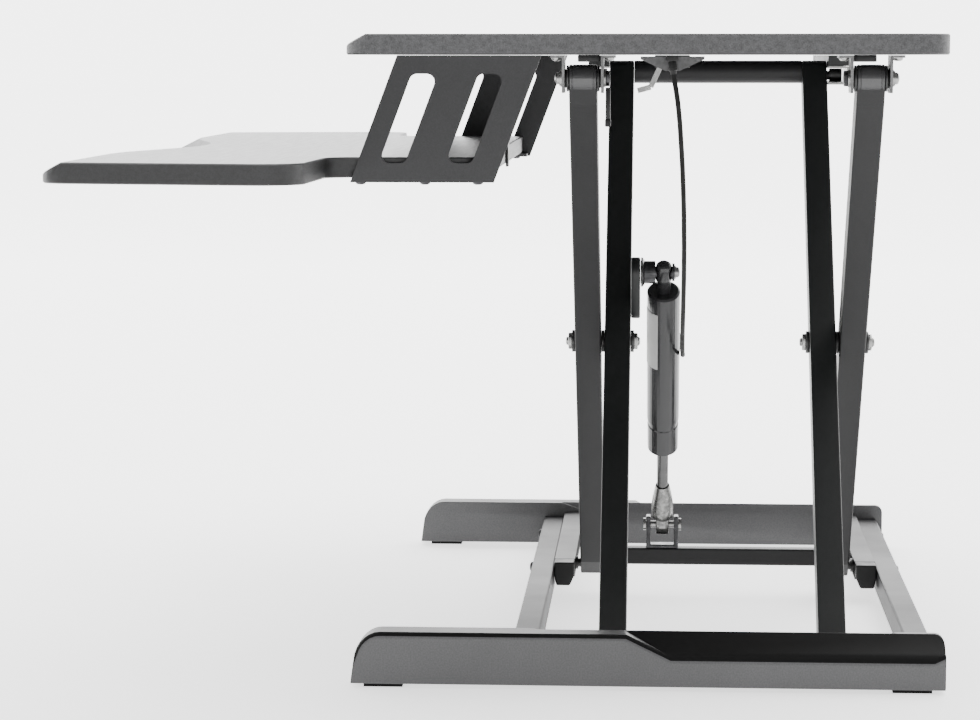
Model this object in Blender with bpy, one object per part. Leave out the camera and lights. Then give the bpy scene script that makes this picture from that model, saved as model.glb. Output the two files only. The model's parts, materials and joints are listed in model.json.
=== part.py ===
"""Standing desk converter: a folding X-frame lift with a desktop, a keyboard tray and a locking gas spring.

Axes: +X is the user's right, -Y is the user's side, +Z is up. Metres. The desktop is at its full height.
"""

import math

import bmesh
import bpy
from mathutils import Matrix, Vector

MM = 0.001
GAP = 0.3 * MM  # between pieces that touch

# Overall sizes
TOP_Z = 500 * MM  # desktop surface when raised
BOARD_T = 15 * MM
BOARD_HALF_X = 450 * MM
BOARD_FRONT, BOARD_REAR = -109 * MM, 326 * MM
BOARD_CORNER_R = 24 * MM
EDGE_BEVEL_IN, EDGE_BEVEL_DOWN = 16 * MM, 8 * MM

# Feet and base
FOOT_OUT, FOOT_W = 345 * MM, 26 * MM
FOOT_IN = FOOT_OUT - FOOT_W
FOOT_HALF_Y = 228 * MM
FOOT_MID_Y = 110.5 * MM
FOOT_ROUND_FRONT, FOOT_ROUND_REAR = 20 * MM, 7 * MM
PAD_L, PAD_W, PAD_FROM_MID = 30 * MM, 18 * MM, 203 * MM
FOOT_BOTTOM, FOOT_TOP = 3 * MM, 43 * MM
RAIL_W, RAIL_BOTTOM, RAIL_TOP = 20 * MM, 8 * MM, 30 * MM
RAIL_WALL = 1.5 * MM
LIFT_Y = 169 * MM  # middle of the X-frame, front to back
RAIL_INNER = 143.5 * MM  # rail's inner side, from LIFT_Y

# X-frame
LEG_W, LEG_D = 21.5 * MM, 26 * MM
GRAY_INNER, BLACK_INNER = 99 * MM, 74.5 * MM  # inner sides of the legs, from LIFT_Y
PIVOT_X = 295 * MM  # the pivots that stay in place, on the user's right
FAR_X = -75 * MM  # the sliding ends when raised
PIVOT_LOW_Z, PIVOT_TOP_Z = 26 * MM, TOP_Z - 33 * MM
PIN_R = 4 * MM
BLACK_LOW_R, BLACK_HIGH_R = 13 * MM, 13 * MM  # the legs' rounded ends
GRAY_LOW_R, GRAY_HIGH_R = 9.5 * MM, 10 * MM
LEG_END_TAPER = 16 * MM  # how far from a pivot a leg reaches its full depth
WASHER_T = 3 * MM  # between a gray leg and the black one beside it

# Slide channels and the glides in them
GLIDE_R, GLIDE_W = 6 * MM, 11 * MM
CHANNEL_W, CHANNEL_WALL, CHANNEL_END = 18 * MM, 1.5 * MM, -48 * MM
HALF_CHANNEL = GLIDE_R + 0.5 * MM + CHANNEL_WALL
CHANNEL_FROM_LEG = 0.5 * MM
TUBE_R, TUBE_UP = 10 * MM, 3 * MM
BAR_T, BAR_BOTTOM, BAR_TOP = 14 * MM, 26 * MM, 41 * MM

# Tray
TRAY_T, TRAY_TOP = 15.8 * MM, 406.5 * MM
TRAY_HALF_X, TRAY_NECK_X = 450 * MM, 300 * MM
TRAY_FRONT, TRAY_REAR = -338.5 * MM, -16 * MM
TRAY_CUT_DEPTH, TRAY_CUT_HALF = 42 * MM, 240 * MM
TRAY_FRONT_R, TRAY_SIDE_R, TRAY_NECK_R = 26 * MM, 34 * MM, 24 * MM
TRAY_TAPER = 24 * MM  # how much further in the front corner is than the side
TRAY_SIDE_Y, TRAY_NECK_Y = -173 * MM, -114 * MM  # centres of the side's and the neck's arcs
TRAY_BEVEL_IN, TRAY_BEVEL_DOWN = 18 * MM, 9 * MM
BRACKET_X, BRACKET_T = 304 * MM, 2 * MM
BRACKET_BOTTOM = 387.2 * MM
BRACKET_LEAN = 0.375  # how far the bracket leans back for each unit of height
BRACKET_FRONT, BRACKET_REAR = -120 * MM, -9 * MM  # at its bottom edge
SLOT_FRONTS, SLOT_W, SLOT_R = (-98 * MM, -46.5 * MM), 20.5 * MM, 6 * MM
SLOT_BOTTOM, SLOT_TOP = 402 * MM, 470.5 * MM
FLANGE, FLANGE_L, FLANGE_T = 24 * MM, 108 * MM, 2.8 * MM

# Release handle
HANDLE_AXIS = Vector((398 * MM, 127.3 * MM, 481.5 * MM))
HANDLE_OUT, HANDLE_T, HANDLE_H = 34 * MM, 3 * MM, 10.5 * MM
HANDLE_WIDE, HANDLE_NARROW = 23 * MM, 5 * MM  # half of its face, above and below

# Gas spring, in its own plane
SPRING_Y = 122 * MM
SPRING_R, ROD_R = 14 * MM, 5 * MM
SPRING_LOW_Z = 62 * MM
SPRING_LEG_OFFSET = 32 * MM  # upper pin, from the leg's centre line
SPRING_HIGH_Z = 304 * MM
BODY_START, BODY_LENGTH = 20 * MM, 183 * MM  # from the upper pin
SOCKET_LENGTH = 50 * MM
PIN_HOLE_R = 3.3 * MM

# Positions worked out from the above
BOARD_Z = TOP_Z - BOARD_T
RISE = PIVOT_TOP_Z - PIVOT_LOW_Z
SPAN = PIVOT_X - FAR_X
LEG_LENGTH = math.hypot(RISE, SPAN)
LOW_PIVOT = Vector((PIVOT_X, LIFT_Y, PIVOT_LOW_Z))
TOP_PIVOT = Vector((PIVOT_X, LIFT_Y, PIVOT_TOP_Z))
MID_PIVOT = Vector(((PIVOT_X + FAR_X) / 2, LIFT_Y, (PIVOT_LOW_Z + PIVOT_TOP_Z) / 2))
FAR_LOW = Vector((FAR_X, LIFT_Y, PIVOT_LOW_Z))
FAR_TOP = Vector((FAR_X, LIFT_Y, PIVOT_TOP_Z))
BLACK_DIR = (FAR_TOP - LOW_PIVOT).normalized()
GRAY_DIR = (TOP_PIVOT - FAR_LOW).normalized()
BLACK_NORMAL = Vector((BLACK_DIR.z, 0, -BLACK_DIR.x))
SPRING_ALONG = (SPRING_HIGH_Z - PIVOT_LOW_Z - SPRING_LEG_OFFSET * BLACK_NORMAL.z) / BLACK_DIR.z
SPRING_HIGH = LOW_PIVOT + BLACK_DIR * SPRING_ALONG + BLACK_NORMAL * SPRING_LEG_OFFSET
SPRING_HIGH.y = SPRING_Y
SPRING_LOW = Vector((FAR_X, SPRING_Y, SPRING_LOW_Z))
SPRING_DIR = (SPRING_LOW - SPRING_HIGH).normalized()


for old in list(bpy.data.objects):
    bpy.data.objects.remove(old, do_unlink=True)


# Materials


def material(name, colour, roughness, metallic):
    made = bpy.data.materials.new(name)
    made.use_nodes = True
    shader = made.node_tree.nodes["Principled BSDF"]
    shader.inputs["Base Color"].default_value = (*colour, 1)
    shader.inputs["Roughness"].default_value = roughness
    shader.inputs["Metallic"].default_value = metallic
    return made


BLACK_STEEL = material("black_steel", (0.02, 0.02, 0.02), 0.45, 0.3)
GRAY_STEEL = material("gray_steel", (0.07, 0.07, 0.07), 0.45, 0.3)
ZINC = material("zinc", (0.6, 0.6, 0.6), 0.3, 1)
DARK_BOLT = material("dark_bolt", (0.03, 0.03, 0.03), 0.35, 0.8)
BOARD = material("board", (0.04, 0.04, 0.04), 0.5, 0)
PLASTIC = material("plastic", (0.015, 0.015, 0.015), 0.4, 0)
RUBBER = material("rubber", (0.01, 0.01, 0.01), 0.8, 0)
NYLON = material("nylon", (0.25, 0.25, 0.25), 0.5, 0)


# Joint axes: an empty on each, which its moving pieces hang from


def joint_empty(name, place, parent=None):
    empty = bpy.data.objects.new(name, None)
    bpy.context.collection.objects.link(empty)
    empty.empty_display_size = 30 * MM
    empty.parent = parent
    empty.location = place - (parent.matrix_world.translation if parent else Vector())
    bpy.context.view_layer.update()
    return empty


LIFT = joint_empty("lift_axis", LOW_PIVOT)
SCISSOR = joint_empty("scissor_axis", MID_PIVOT, LIFT)
DESK = joint_empty("desk_axis", TOP_PIVOT, SCISSOR)
CARRIAGE = joint_empty("carriage_axis", FAR_LOW, SCISSOR)
SPRING_FOOT = joint_empty("spring_foot_axis", SPRING_LOW, CARRIAGE)
SPRING_HEAD = joint_empty("spring_slide_axis", SPRING_HIGH, SPRING_FOOT)
HANDLE = joint_empty("handle_axis", HANDLE_AXIS, DESK)


# Shapes


def finish(name, bm, slot, parent, smooth=True):
    """Makes the node, with its vertices moved from world space to its parent's."""
    bmesh.ops.recalc_face_normals(bm, faces=bm.faces)
    if parent:
        bmesh.ops.translate(bm, verts=bm.verts, vec=-parent.matrix_world.translation)
    mesh = bpy.data.meshes.new(name)
    bm.to_mesh(mesh)
    bm.free()
    obj = bpy.data.objects.new(name, mesh)
    bpy.context.collection.objects.link(obj)
    obj.parent = parent
    mesh.materials.append(slot)
    if smooth:
        mesh.shade_smooth()
        mesh.set_sharp_from_angle(angle=math.radians(35))
    return obj


def bevel(obj, width, segments=2, angle=50):
    made = obj.modifiers.new("edge", "BEVEL")
    made.width = width
    made.segments = segments
    made.limit_method = "ANGLE"
    made.angle_limit = math.radians(angle)
    return obj


def prism_bm(outline, along, start, end):
    """Extrudes an outline along one axis. The outline is in the other two axes, in X, Y, Z order."""
    axes = [axis for axis in range(3) if axis != along]
    bm = bmesh.new()
    ring = []
    for first, second in outline:
        place = [0, 0, 0]
        place[axes[0]], place[axes[1]], place[along] = first, second, start
        ring.append(bm.verts.new(place))
    face = bm.faces.new(ring)
    moved = bmesh.ops.extrude_face_region(bm, geom=[face])["geom"]
    shift = Vector((0, 0, 0))
    shift[along] = end - start
    bmesh.ops.translate(bm, verts=[v for v in moved if isinstance(v, bmesh.types.BMVert)], vec=shift)
    return bm


def prism(name, outline, along, start, end, slot, parent=None, smooth=True):
    return finish(name, prism_bm(outline, along, start, end), slot, parent, smooth)


def box(name, low, high, slot, parent=None):
    outline = [(low[0], low[1]), (high[0], low[1]), (high[0], high[1]), (low[0], high[1])]
    return prism(name, outline, 2, low[2], high[2], slot, parent)


def turned(name, profile, start, direction, slot, parent=None, steps=32):
    """Spins (distance, radius) points about the line from start along direction."""
    bm = bmesh.new()
    points = [(profile[0][0], 0), *profile, (profile[-1][0], 0)]
    verts = [bm.verts.new((radius, 0, along)) for along, radius in points]
    edges = [bm.edges.new(pair) for pair in zip(verts, verts[1:])]
    profile_parts = verts + edges
    bmesh.ops.spin(bm, geom=profile_parts, cent=(0, 0, 0), axis=(0, 0, 1), angle=math.tau, steps=steps)
    bmesh.ops.remove_doubles(bm, verts=bm.verts, dist=1e-6)
    turn = Vector((0, 0, 1)).rotation_difference(Vector(direction)).to_matrix().to_4x4()
    bmesh.ops.transform(bm, matrix=Matrix.Translation(start) @ turn, verts=bm.verts)
    return finish(name, bm, slot, parent)


def cut(obj, cutter):
    cutter.hide_render = True
    cutter.display_type = "WIRE"
    made = obj.modifiers.new("cut", "BOOLEAN")
    made.operation = "DIFFERENCE"
    made.object = cutter
    return obj


def hole(obj, name, start, direction, radius, length, steps=24):
    cutter = turned(name, [(0, radius), (length, radius)], Vector(start), direction, ZINC, obj.parent, steps)
    return cut(obj, cutter)


def add(obj, other):
    """Joins another closed mesh to this one."""
    other.hide_render = True
    other.display_type = "WIRE"
    made = obj.modifiers.new("join", "BOOLEAN")
    made.operation = "UNION"
    made.object = other
    return obj


def arc(centre, radius, first, last, steps):
    """Points on an arc between two angles in degrees."""
    angles = [math.radians(first + (last - first) * step / steps) for step in range(steps + 1)]
    return [(centre[0] + radius * math.cos(a), centre[1] + radius * math.sin(a)) for a in angles]


def mirrored(points):
    return [(-x, y) for x, y in reversed(points)]


def rounded(corners, radius, steps=5):
    """A polygon with each corner, taken anticlockwise, replaced by an arc."""
    points = []
    for before, corner, after in zip(corners[-1:] + corners, corners, corners[1:] + corners[:1]):
        here = Vector(corner)
        back, onward = (Vector(before) - here).normalized(), (Vector(after) - here).normalized()
        half_angle = back.angle(onward) / 2
        centre = here + (back + onward).normalized() * radius / math.sin(half_angle)
        turn = 90 - math.degrees(half_angle)
        towards = math.degrees(math.atan2(here.y - centre.y, here.x - centre.x))
        points += arc(centre, radius, towards - turn, towards + turn, steps)
    return points


# Base: two feet joined by two rails, with a slide channel beside each rail


def make_foot(name, side):
    round_front, round_rear = FOOT_ROUND_FRONT, FOOT_ROUND_REAR
    front, rear = FOOT_MID_Y - FOOT_HALF_Y, FOOT_MID_Y + FOOT_HALF_Y
    outline = [(front, FOOT_BOTTOM), (rear, FOOT_BOTTOM)]
    outline += arc((rear - round_rear, FOOT_TOP - round_rear), round_rear, 0, 90, 4)
    outline += arc((front + round_front, FOOT_TOP - round_front), round_front, 90, 172, 6)
    low, high = sorted((side * FOOT_IN, side * FOOT_OUT))
    foot = prism(name, outline, 0, low, high, GRAY_STEEL)
    scoop_out(foot, name + "_outer_scoop", side * FOOT_OUT, -side, OUTER_SCOOP)
    scoop_out(foot, name + "_inner_scoop", side * FOOT_IN, side, INNER_SCOOP)


# Across the foot, down its face, and its front and rear ends
OUTER_SCOOP = (20 * MM, 17 * MM, 87 * MM, 372 * MM)
INNER_SCOOP = (5 * MM, 10 * MM, 12 * MM, 312 * MM)


def scoop_out(foot, name, face_x, inward, size):
    """A sloped cut along the foot's upper edge, with slanted ends."""
    across, down, front, rear = size
    above, slant = 4 * MM, 45 * MM
    reach = across * (down + above) / down
    bm = bmesh.new()
    triangles = []
    for end, lean in ((front, slant), (rear, -slant)):
        corners = (
            (face_x - inward * MM, end + lean, FOOT_TOP - down - down / across * MM),
            (face_x - inward * MM, end, FOOT_TOP + above),
            (face_x + inward * reach, end, FOOT_TOP + above),
        )
        triangles.append([bm.verts.new(corner) for corner in corners])
    first, last = triangles
    bm.faces.new(first)
    bm.faces.new(last)
    for step in range(3):
        after = (step + 1) % 3
        bm.faces.new((first[step], first[after], last[after], last[step]))
    cut(foot, finish(name, bm, GRAY_STEEL, None, smooth=False))


def make_pad(name, x, y):
    low = (x - PAD_W / 2, y - PAD_L / 2, 0)
    high = (x + PAD_W / 2, y + PAD_L / 2, FOOT_BOTTOM - GAP)
    box(name, low, high, RUBBER)


def make_rail(name, inner_side, direction):
    """A rectangular tube between the feet. Its ends stay open towards the feet."""
    low_y, high_y = sorted((inner_side, inner_side + direction * RAIL_W))
    length = FOOT_IN - GAP
    rail = box(name, (-length, low_y, RAIL_BOTTOM), (length, high_y, RAIL_TOP), GRAY_STEEL)
    bevel(rail, 1.5 * MM)
    low = (-length - MM, low_y + RAIL_WALL, RAIL_BOTTOM + RAIL_WALL)
    high = (length + MM, high_y - RAIL_WALL, RAIL_TOP - RAIL_WALL)
    cut(rail, box(name + "_hollow", low, high, GRAY_STEEL))


def make_channel(name, web_side, direction, end, middle_z, slot, parent=None):
    """A C-shaped slide along X, open on the side that its glide comes in from."""
    half = HALF_CHANNEL
    open_side = web_side + direction * CHANNEL_W
    inner = web_side + direction * CHANNEL_WALL
    outline = [
        (web_side, middle_z - half),
        (open_side, middle_z - half),
        (open_side, middle_z - half + CHANNEL_WALL),
        (inner, middle_z - half + CHANNEL_WALL),
        (inner, middle_z + half - CHANNEL_WALL),
        (open_side, middle_z + half - CHANNEL_WALL),
        (open_side, middle_z + half),
        (web_side, middle_z + half),
    ]
    return prism(name, outline, 0, -FOOT_IN + GAP, end, slot, parent)


def make_stop(name, web_side, direction):
    """The plastic block that closes the slide channel's near end."""
    length, far_slope, near_slope = 20 * MM, 4 * MM, 2 * MM
    far = web_side + direction * CHANNEL_W
    bottom, shoulder, top = 13 * MM, 22 * MM, PIVOT_LOW_Z + HALF_CHANNEL
    outline = [(web_side, shoulder), (web_side, top), (far, top), (far, shoulder)]
    outline += [(far - direction * far_slope, bottom), (web_side + direction * near_slope, bottom)]
    bevel(prism(name, outline, 0, CHANNEL_END + GAP, CHANNEL_END + length, PLASTIC), 1.2 * MM)


def make_lug(name, leg_low):
    """A U-shaped bracket on the foot that holds the foot of a black leg."""
    wall, clear = 3 * MM, 0.8 * MM
    low, high = leg_low - clear - wall, leg_low + LEG_W + clear + wall
    end = FOOT_IN - GAP
    front, bottom, top = PIVOT_X - 13 * MM, PIVOT_LOW_Z - 13 * MM, PIVOT_LOW_Z + 6 * MM
    outline = [(end, low), (end, high), (front, high), (front, high - wall)]
    outline += [(end - wall, high - wall), (end - wall, low + wall), (front, low + wall), (front, low)]
    lug = prism(name, outline, 2, bottom, top, GRAY_STEEL)
    hole(lug, name + "_hole", (PIVOT_X, low - MM, PIVOT_LOW_Z), (0, 1, 0), PIN_R + GAP, high - low + 2 * MM)
    head, head_r, nut_r, length = 2.5 * MM, 7 * MM, 6.5 * MM, high - low
    profile = [(-head, head_r), (-GAP, head_r), (-GAP, PIN_R), (length + GAP, PIN_R)]
    profile += [(length + GAP, nut_r), (length + GAP + head, nut_r)]
    turned(name.replace("lug", "pin"), profile, Vector((PIVOT_X, low, PIVOT_LOW_Z)), (0, 1, 0), DARK_BOLT)


FRONT_RAIL_Y, REAR_RAIL_Y = LIFT_Y - RAIL_INNER, LIFT_Y + RAIL_INNER
FRONT_WEB, REAR_WEB = FRONT_RAIL_Y + GAP, REAR_RAIL_Y - GAP
BLACK_FRONT, BLACK_REAR = LIFT_Y - BLACK_INNER - LEG_W, LIFT_Y + BLACK_INNER
GRAY_FRONT, GRAY_REAR = LIFT_Y - GRAY_INNER - LEG_W, LIFT_Y + GRAY_INNER

make_foot("foot_right", 1)
make_foot("foot_left", -1)
for side_name, side in (("right", 1), ("left", -1)):
    for end_name, end in (("front", -1), ("rear", 1)):
        pad_y = FOOT_MID_Y + end * PAD_FROM_MID
        make_pad(f"foot_pad_{side_name}_{end_name}", side * (FOOT_OUT - FOOT_W / 2), pad_y)
make_rail("base_rail_front", FRONT_RAIL_Y, -1)
make_rail("base_rail_rear", REAR_RAIL_Y, 1)
make_channel("base_channel_front", FRONT_WEB, 1, CHANNEL_END, PIVOT_LOW_Z, GRAY_STEEL)
make_channel("base_channel_rear", REAR_WEB, -1, CHANNEL_END, PIVOT_LOW_Z, GRAY_STEEL)
make_stop("channel_stop_front", FRONT_WEB, 1)
make_stop("channel_stop_rear", REAR_WEB, -1)
make_lug("leg_lug_front", BLACK_FRONT)
make_lug("leg_lug_rear", BLACK_REAR)


# X-frame


def make_leg(name, start, direction, low_y, slot, parent, low_radius, high_radius):
    """A flat leg from one pivot to the other, rounded about each, with holes for the three pins."""
    normal = Vector((-direction.z, 0, direction.x))
    half = LEG_D / 2
    local = [(LEG_END_TAPER, half), *arc((0, 0), low_radius, 90, 270, 10), (LEG_END_TAPER, -half)]
    local += [(LEG_LENGTH - LEG_END_TAPER, -half), *arc((LEG_LENGTH, 0), high_radius, -90, 90, 10)]
    local.append((LEG_LENGTH - LEG_END_TAPER, half))
    places = [start + direction * along + normal * off for along, off in local]
    outline = [(place.x, place.z) for place in places]
    leg = prism(name, outline, 1, low_y, low_y + LEG_W, slot, parent)
    bevel(leg, 1 * MM, 2, 60)
    middle = start + direction * LEG_LENGTH / 2
    for place, tag in ((start, "low"), (start + direction * LEG_LENGTH, "high"), (middle, "middle")):
        origin = (place.x, low_y - MM, place.z)
        hole(leg, f"{name}_{tag}_hole", origin, (0, 1, 0), PIN_R + 0.5 * MM, LEG_W + 2 * MM)
    return leg


def make_mid_bolt(name, outer_side, direction):
    """The scissor bolt: head outside the gray leg, nut inside the black one."""
    pair = LEG_W * 2 + WASHER_T
    head, head_r, flange, flange_r, nut_r = 8 * MM, 6.5 * MM, 3 * MM, 8.5 * MM, 6 * MM
    profile = [(-head, head_r), (-flange, head_r), (-flange, flange_r)]
    profile += [(-GAP, flange_r), (-GAP, PIN_R), (LEG_W + GAP, PIN_R), (LEG_W + GAP, flange_r)]
    profile += [(LEG_W + WASHER_T - GAP, flange_r), (LEG_W + WASHER_T - GAP, PIN_R)]
    profile += [(pair + GAP, PIN_R), (pair + GAP, flange_r)]
    profile += [(pair + flange, flange_r), (pair + flange, nut_r), (pair + head, nut_r)]
    start = Vector((MID_PIVOT.x, outer_side, MID_PIVOT.z))
    turned(name, profile, start, (0, direction, 0), ZINC, LIFT)


for end_name, black_low, gray_low in (("front", BLACK_FRONT, GRAY_FRONT), ("rear", BLACK_REAR, GRAY_REAR)):
    black_ends, gray_ends = (BLACK_LOW_R, BLACK_HIGH_R), (GRAY_LOW_R, GRAY_HIGH_R)
    make_leg(f"black_leg_{end_name}", LOW_PIVOT, BLACK_DIR, black_low, BLACK_STEEL, LIFT, *black_ends)
    make_leg(f"gray_leg_{end_name}", FAR_LOW, GRAY_DIR, gray_low, GRAY_STEEL, SCISSOR, *gray_ends)
make_mid_bolt("scissor_bolt_front", GRAY_FRONT, 1)
make_mid_bolt("scissor_bolt_rear", GRAY_REAR + LEG_W, -1)

TUBE_START, TUBE_END = BLACK_FRONT + LEG_W + GAP, BLACK_REAR - GAP
turned(
    "upper_cross_tube",
    [(0, TUBE_R), (TUBE_END - TUBE_START, TUBE_R)],
    Vector((FAR_X, TUBE_START, PIVOT_TOP_Z + TUBE_UP)),
    (0, 1, 0),
    GRAY_STEEL,
    LIFT,
)


def make_glide(name, leg_face, direction, z, parent):
    """A nylon glide on a stub that runs through the leg's end."""
    start = 2.5 * MM
    profile = [(-LEG_W + MM, PIN_R), (start, PIN_R), (start, GLIDE_R), (start + GLIDE_W, GLIDE_R)]
    turned(name, profile, Vector((FAR_X, leg_face, z)), (0, direction, 0), NYLON, parent)


make_glide("upper_glide_front", BLACK_FRONT, -1, PIVOT_TOP_Z, LIFT)
make_glide("upper_glide_rear", BLACK_REAR + LEG_W, 1, PIVOT_TOP_Z, LIFT)


# Carriage: the bar that joins the gray legs' sliding ends and carries the gas spring

make_glide("lower_glide_front", GRAY_FRONT, -1, PIVOT_LOW_Z, CARRIAGE)
make_glide("lower_glide_rear", GRAY_REAR + LEG_W, 1, PIVOT_LOW_Z, CARRIAGE)
bar_front, bar_rear = GRAY_FRONT + LEG_W + 0.8 * MM, GRAY_REAR - 0.8 * MM
bevel(
    box(
        "carriage_bar",
        (FAR_X - BAR_T / 2, bar_front, BAR_BOTTOM),
        (FAR_X + BAR_T / 2, bar_rear, BAR_TOP),
        GRAY_STEEL,
        CARRIAGE,
    ),
    1.5 * MM,
)


def make_clevis():
    """Two ears on the carriage bar, with the lower pin of the gas spring."""
    ear_t, half, wall, ear_half = 4 * MM, 14.5 * MM, 3 * MM, 7.5 * MM
    base, top = BAR_TOP + GAP, SPRING_LOW_Z + 8 * MM
    outline = [(SPRING_Y - half, base), (SPRING_Y + half, base), (SPRING_Y + half, top)]
    outline += [(SPRING_Y + half - ear_t, top), (SPRING_Y + half - ear_t, base + wall)]
    outline += [(SPRING_Y - half + ear_t, base + wall), (SPRING_Y - half + ear_t, top)]
    outline += [(SPRING_Y - half, top)]
    clevis = prism("spring_clevis", outline, 0, FAR_X - ear_half, FAR_X + ear_half, BLACK_STEEL, CARRIAGE)
    bevel(clevis, 1 * MM)
    start = (FAR_X, SPRING_Y - half - MM, SPRING_LOW_Z)
    hole(clevis, "clevis_hole", start, (0, 1, 0), PIN_HOLE_R, 2 * half + 2 * MM)
    head, head_r, pin_r = 2.5 * MM, 5.5 * MM, 3 * MM
    profile = [(-head, head_r), (-GAP, head_r), (-GAP, pin_r), (2 * half + GAP, pin_r)]
    profile += [(2 * half + GAP, head_r), (2 * half + head, head_r)]
    place = Vector((FAR_X, SPRING_Y - half, SPRING_LOW_Z))
    turned("spring_clevis_pin", profile, place, (0, 1, 0), ZINC, CARRIAGE)


make_clevis()


# Gas spring


def along_spring(distance):
    return SPRING_HIGH + SPRING_DIR * distance


SPRING_TOTAL = (SPRING_LOW - SPRING_HIGH).length
BODY_END = BODY_START + BODY_LENGTH
MOUTH_R, MOUTH_DEPTH, BORE_DEPTH = 11.5 * MM, 16 * MM, 75 * MM
KNUCKLE_R = 9.6 * MM
EYE_W, EYE_R, EYE_HOLE_R, NECK_R = 12 * MM, 10.5 * MM, 5 * MM, 6 * MM
COLLAR_START = BODY_START + 147 * MM

turned(
    "spring_cylinder",
    [
        (BODY_START, SPRING_R - 1.5 * MM),
        (BODY_START + 1.5 * MM, SPRING_R),
        (COLLAR_START, SPRING_R),
        (COLLAR_START + MM, SPRING_R - MM),
        (COLLAR_START + 6 * MM, SPRING_R - MM),
        (COLLAR_START + 7 * MM, SPRING_R - 0.4 * MM),
        (BODY_END - MM, SPRING_R - 0.6 * MM),
        (BODY_END, SPRING_R - 1.6 * MM),
        (BODY_END, MOUTH_R),
        (BODY_END - MOUTH_DEPTH, MOUTH_R),
        (BODY_END - MOUTH_DEPTH, ROD_R + GAP),
        (BODY_END - MOUTH_DEPTH - BORE_DEPTH, ROD_R + GAP),
    ],
    SPRING_HIGH,
    SPRING_DIR,
    BLACK_STEEL,
    SPRING_HEAD,
)
ROD_TOP = BODY_END - MOUTH_DEPTH - 4 * MM
SOCKET_TOP = SPRING_TOTAL - SOCKET_LENGTH
turned(
    "spring_rod",
    [(ROD_TOP, ROD_R), (SOCKET_TOP - GAP, ROD_R)],
    SPRING_HIGH,
    SPRING_DIR,
    ZINC,
    SPRING_FOOT,
    20,
)
knuckle = turned(
    "spring_knuckle",
    [
        (SOCKET_TOP, 6 * MM),
        (SOCKET_TOP + 20 * MM, KNUCKLE_R),
        (SPRING_TOTAL - 12 * MM, KNUCKLE_R),
        (SPRING_TOTAL - 9 * MM, 6 * MM),
        (SPRING_TOTAL + 7 * MM, 6 * MM),
    ],
    SPRING_HIGH,
    SPRING_DIR,
    ZINC,
    SPRING_FOOT,
    28,
)
hole(knuckle, "knuckle_hole", SPRING_LOW - Vector((0, EYE_W, 0)), (0, 1, 0), PIN_HOLE_R, 2 * EYE_W)

eye = turned(
    "spring_eye",
    [(0, EYE_R), (EYE_W, EYE_R)],
    SPRING_HIGH - Vector((0, EYE_W / 2, 0)),
    (0, 1, 0),
    BLACK_STEEL,
    SPRING_HEAD,
)
neck_profile = [(NECK_R, NECK_R), (BODY_START - GAP, NECK_R)]
neck = turned("eye_neck", neck_profile, SPRING_HIGH, SPRING_DIR, BLACK_STEEL, SPRING_HEAD)
add(eye, neck)
hole(eye, "eye_hole", SPRING_HIGH - Vector((0, EYE_W, 0)), (0, 1, 0), EYE_HOLE_R, 2 * EYE_W)

PLATE_FRONT = BLACK_FRONT + LEG_W + GAP
PLATE_T = 7.5 * MM


def make_spring_plate():
    """A teardrop plate on the black leg: round about the spring's pin, tapering down the leg."""
    high = Vector((SPRING_HIGH.x, 0, SPRING_HIGH.z))
    low = high - BLACK_DIR * 20 * MM - BLACK_NORMAL * 25 * MM
    axis = (high - low).normalized()
    facing = math.degrees(math.atan2(axis.z, axis.x))
    high_r, low_r = 12.5 * MM, 8 * MM
    outline = arc((high.x, high.z), high_r, facing - 100, facing + 100, 14)
    outline += arc((low.x, low.z), low_r, facing + 100, facing + 260, 8)
    plate = prism("spring_plate", outline, 1, PLATE_FRONT, PLATE_FRONT + PLATE_T, BLACK_STEEL, LIFT)
    bevel(plate, 1 * MM)
    start = Vector((SPRING_HIGH.x, PLATE_FRONT + PLATE_T, SPRING_HIGH.z))
    boss_r, bolt_r, nut_r, nut_t = 9.5 * MM, 4.5 * MM, 7.5 * MM, 2 * MM
    boss_end, nut_start = SPRING_Y - EYE_W / 2 - start.y - MM, SPRING_Y + EYE_W / 2 - start.y + MM
    profile = [(GAP, boss_r), (boss_end, boss_r), (boss_end, bolt_r), (nut_start, bolt_r)]
    profile += [(nut_start, nut_r), (nut_start + nut_t, nut_r), (nut_start + nut_t + 0.5 * MM, bolt_r)]
    turned("spring_boss", profile, start, (0, 1, 0), DARK_BOLT, SPRING_HEAD)


make_spring_plate()


# Desktop


def slab(name, outline, top, thickness, slot, parent):
    return prism(name, outline, 2, top - thickness, top, slot, parent)


def make_desktop():
    r = BOARD_CORNER_R
    right = arc((BOARD_HALF_X - r, BOARD_FRONT + r), r, -90, 0, 6)
    right += arc((BOARD_HALF_X - r, BOARD_REAR - r), r, 0, 90, 6)
    board = slab("desktop_board", right + mirrored(right), TOP_Z, BOARD_T, BOARD, DESK)
    front = BOARD_FRONT
    slope = EDGE_BEVEL_DOWN / EDGE_BEVEL_IN
    over = 5 * MM
    outline = [(front - over, TOP_Z - EDGE_BEVEL_DOWN - over * slope), (front - over, TOP_Z + over)]
    outline += [(front + EDGE_BEVEL_IN + over / slope, TOP_Z + over)]
    wedge = prism("board_edge_cut", outline, 0, -BOARD_HALF_X - over, BOARD_HALF_X + over, BOARD, DESK, False)
    cut(board, wedge)
    bevel(board, 1 * MM, 1, 40)


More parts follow.
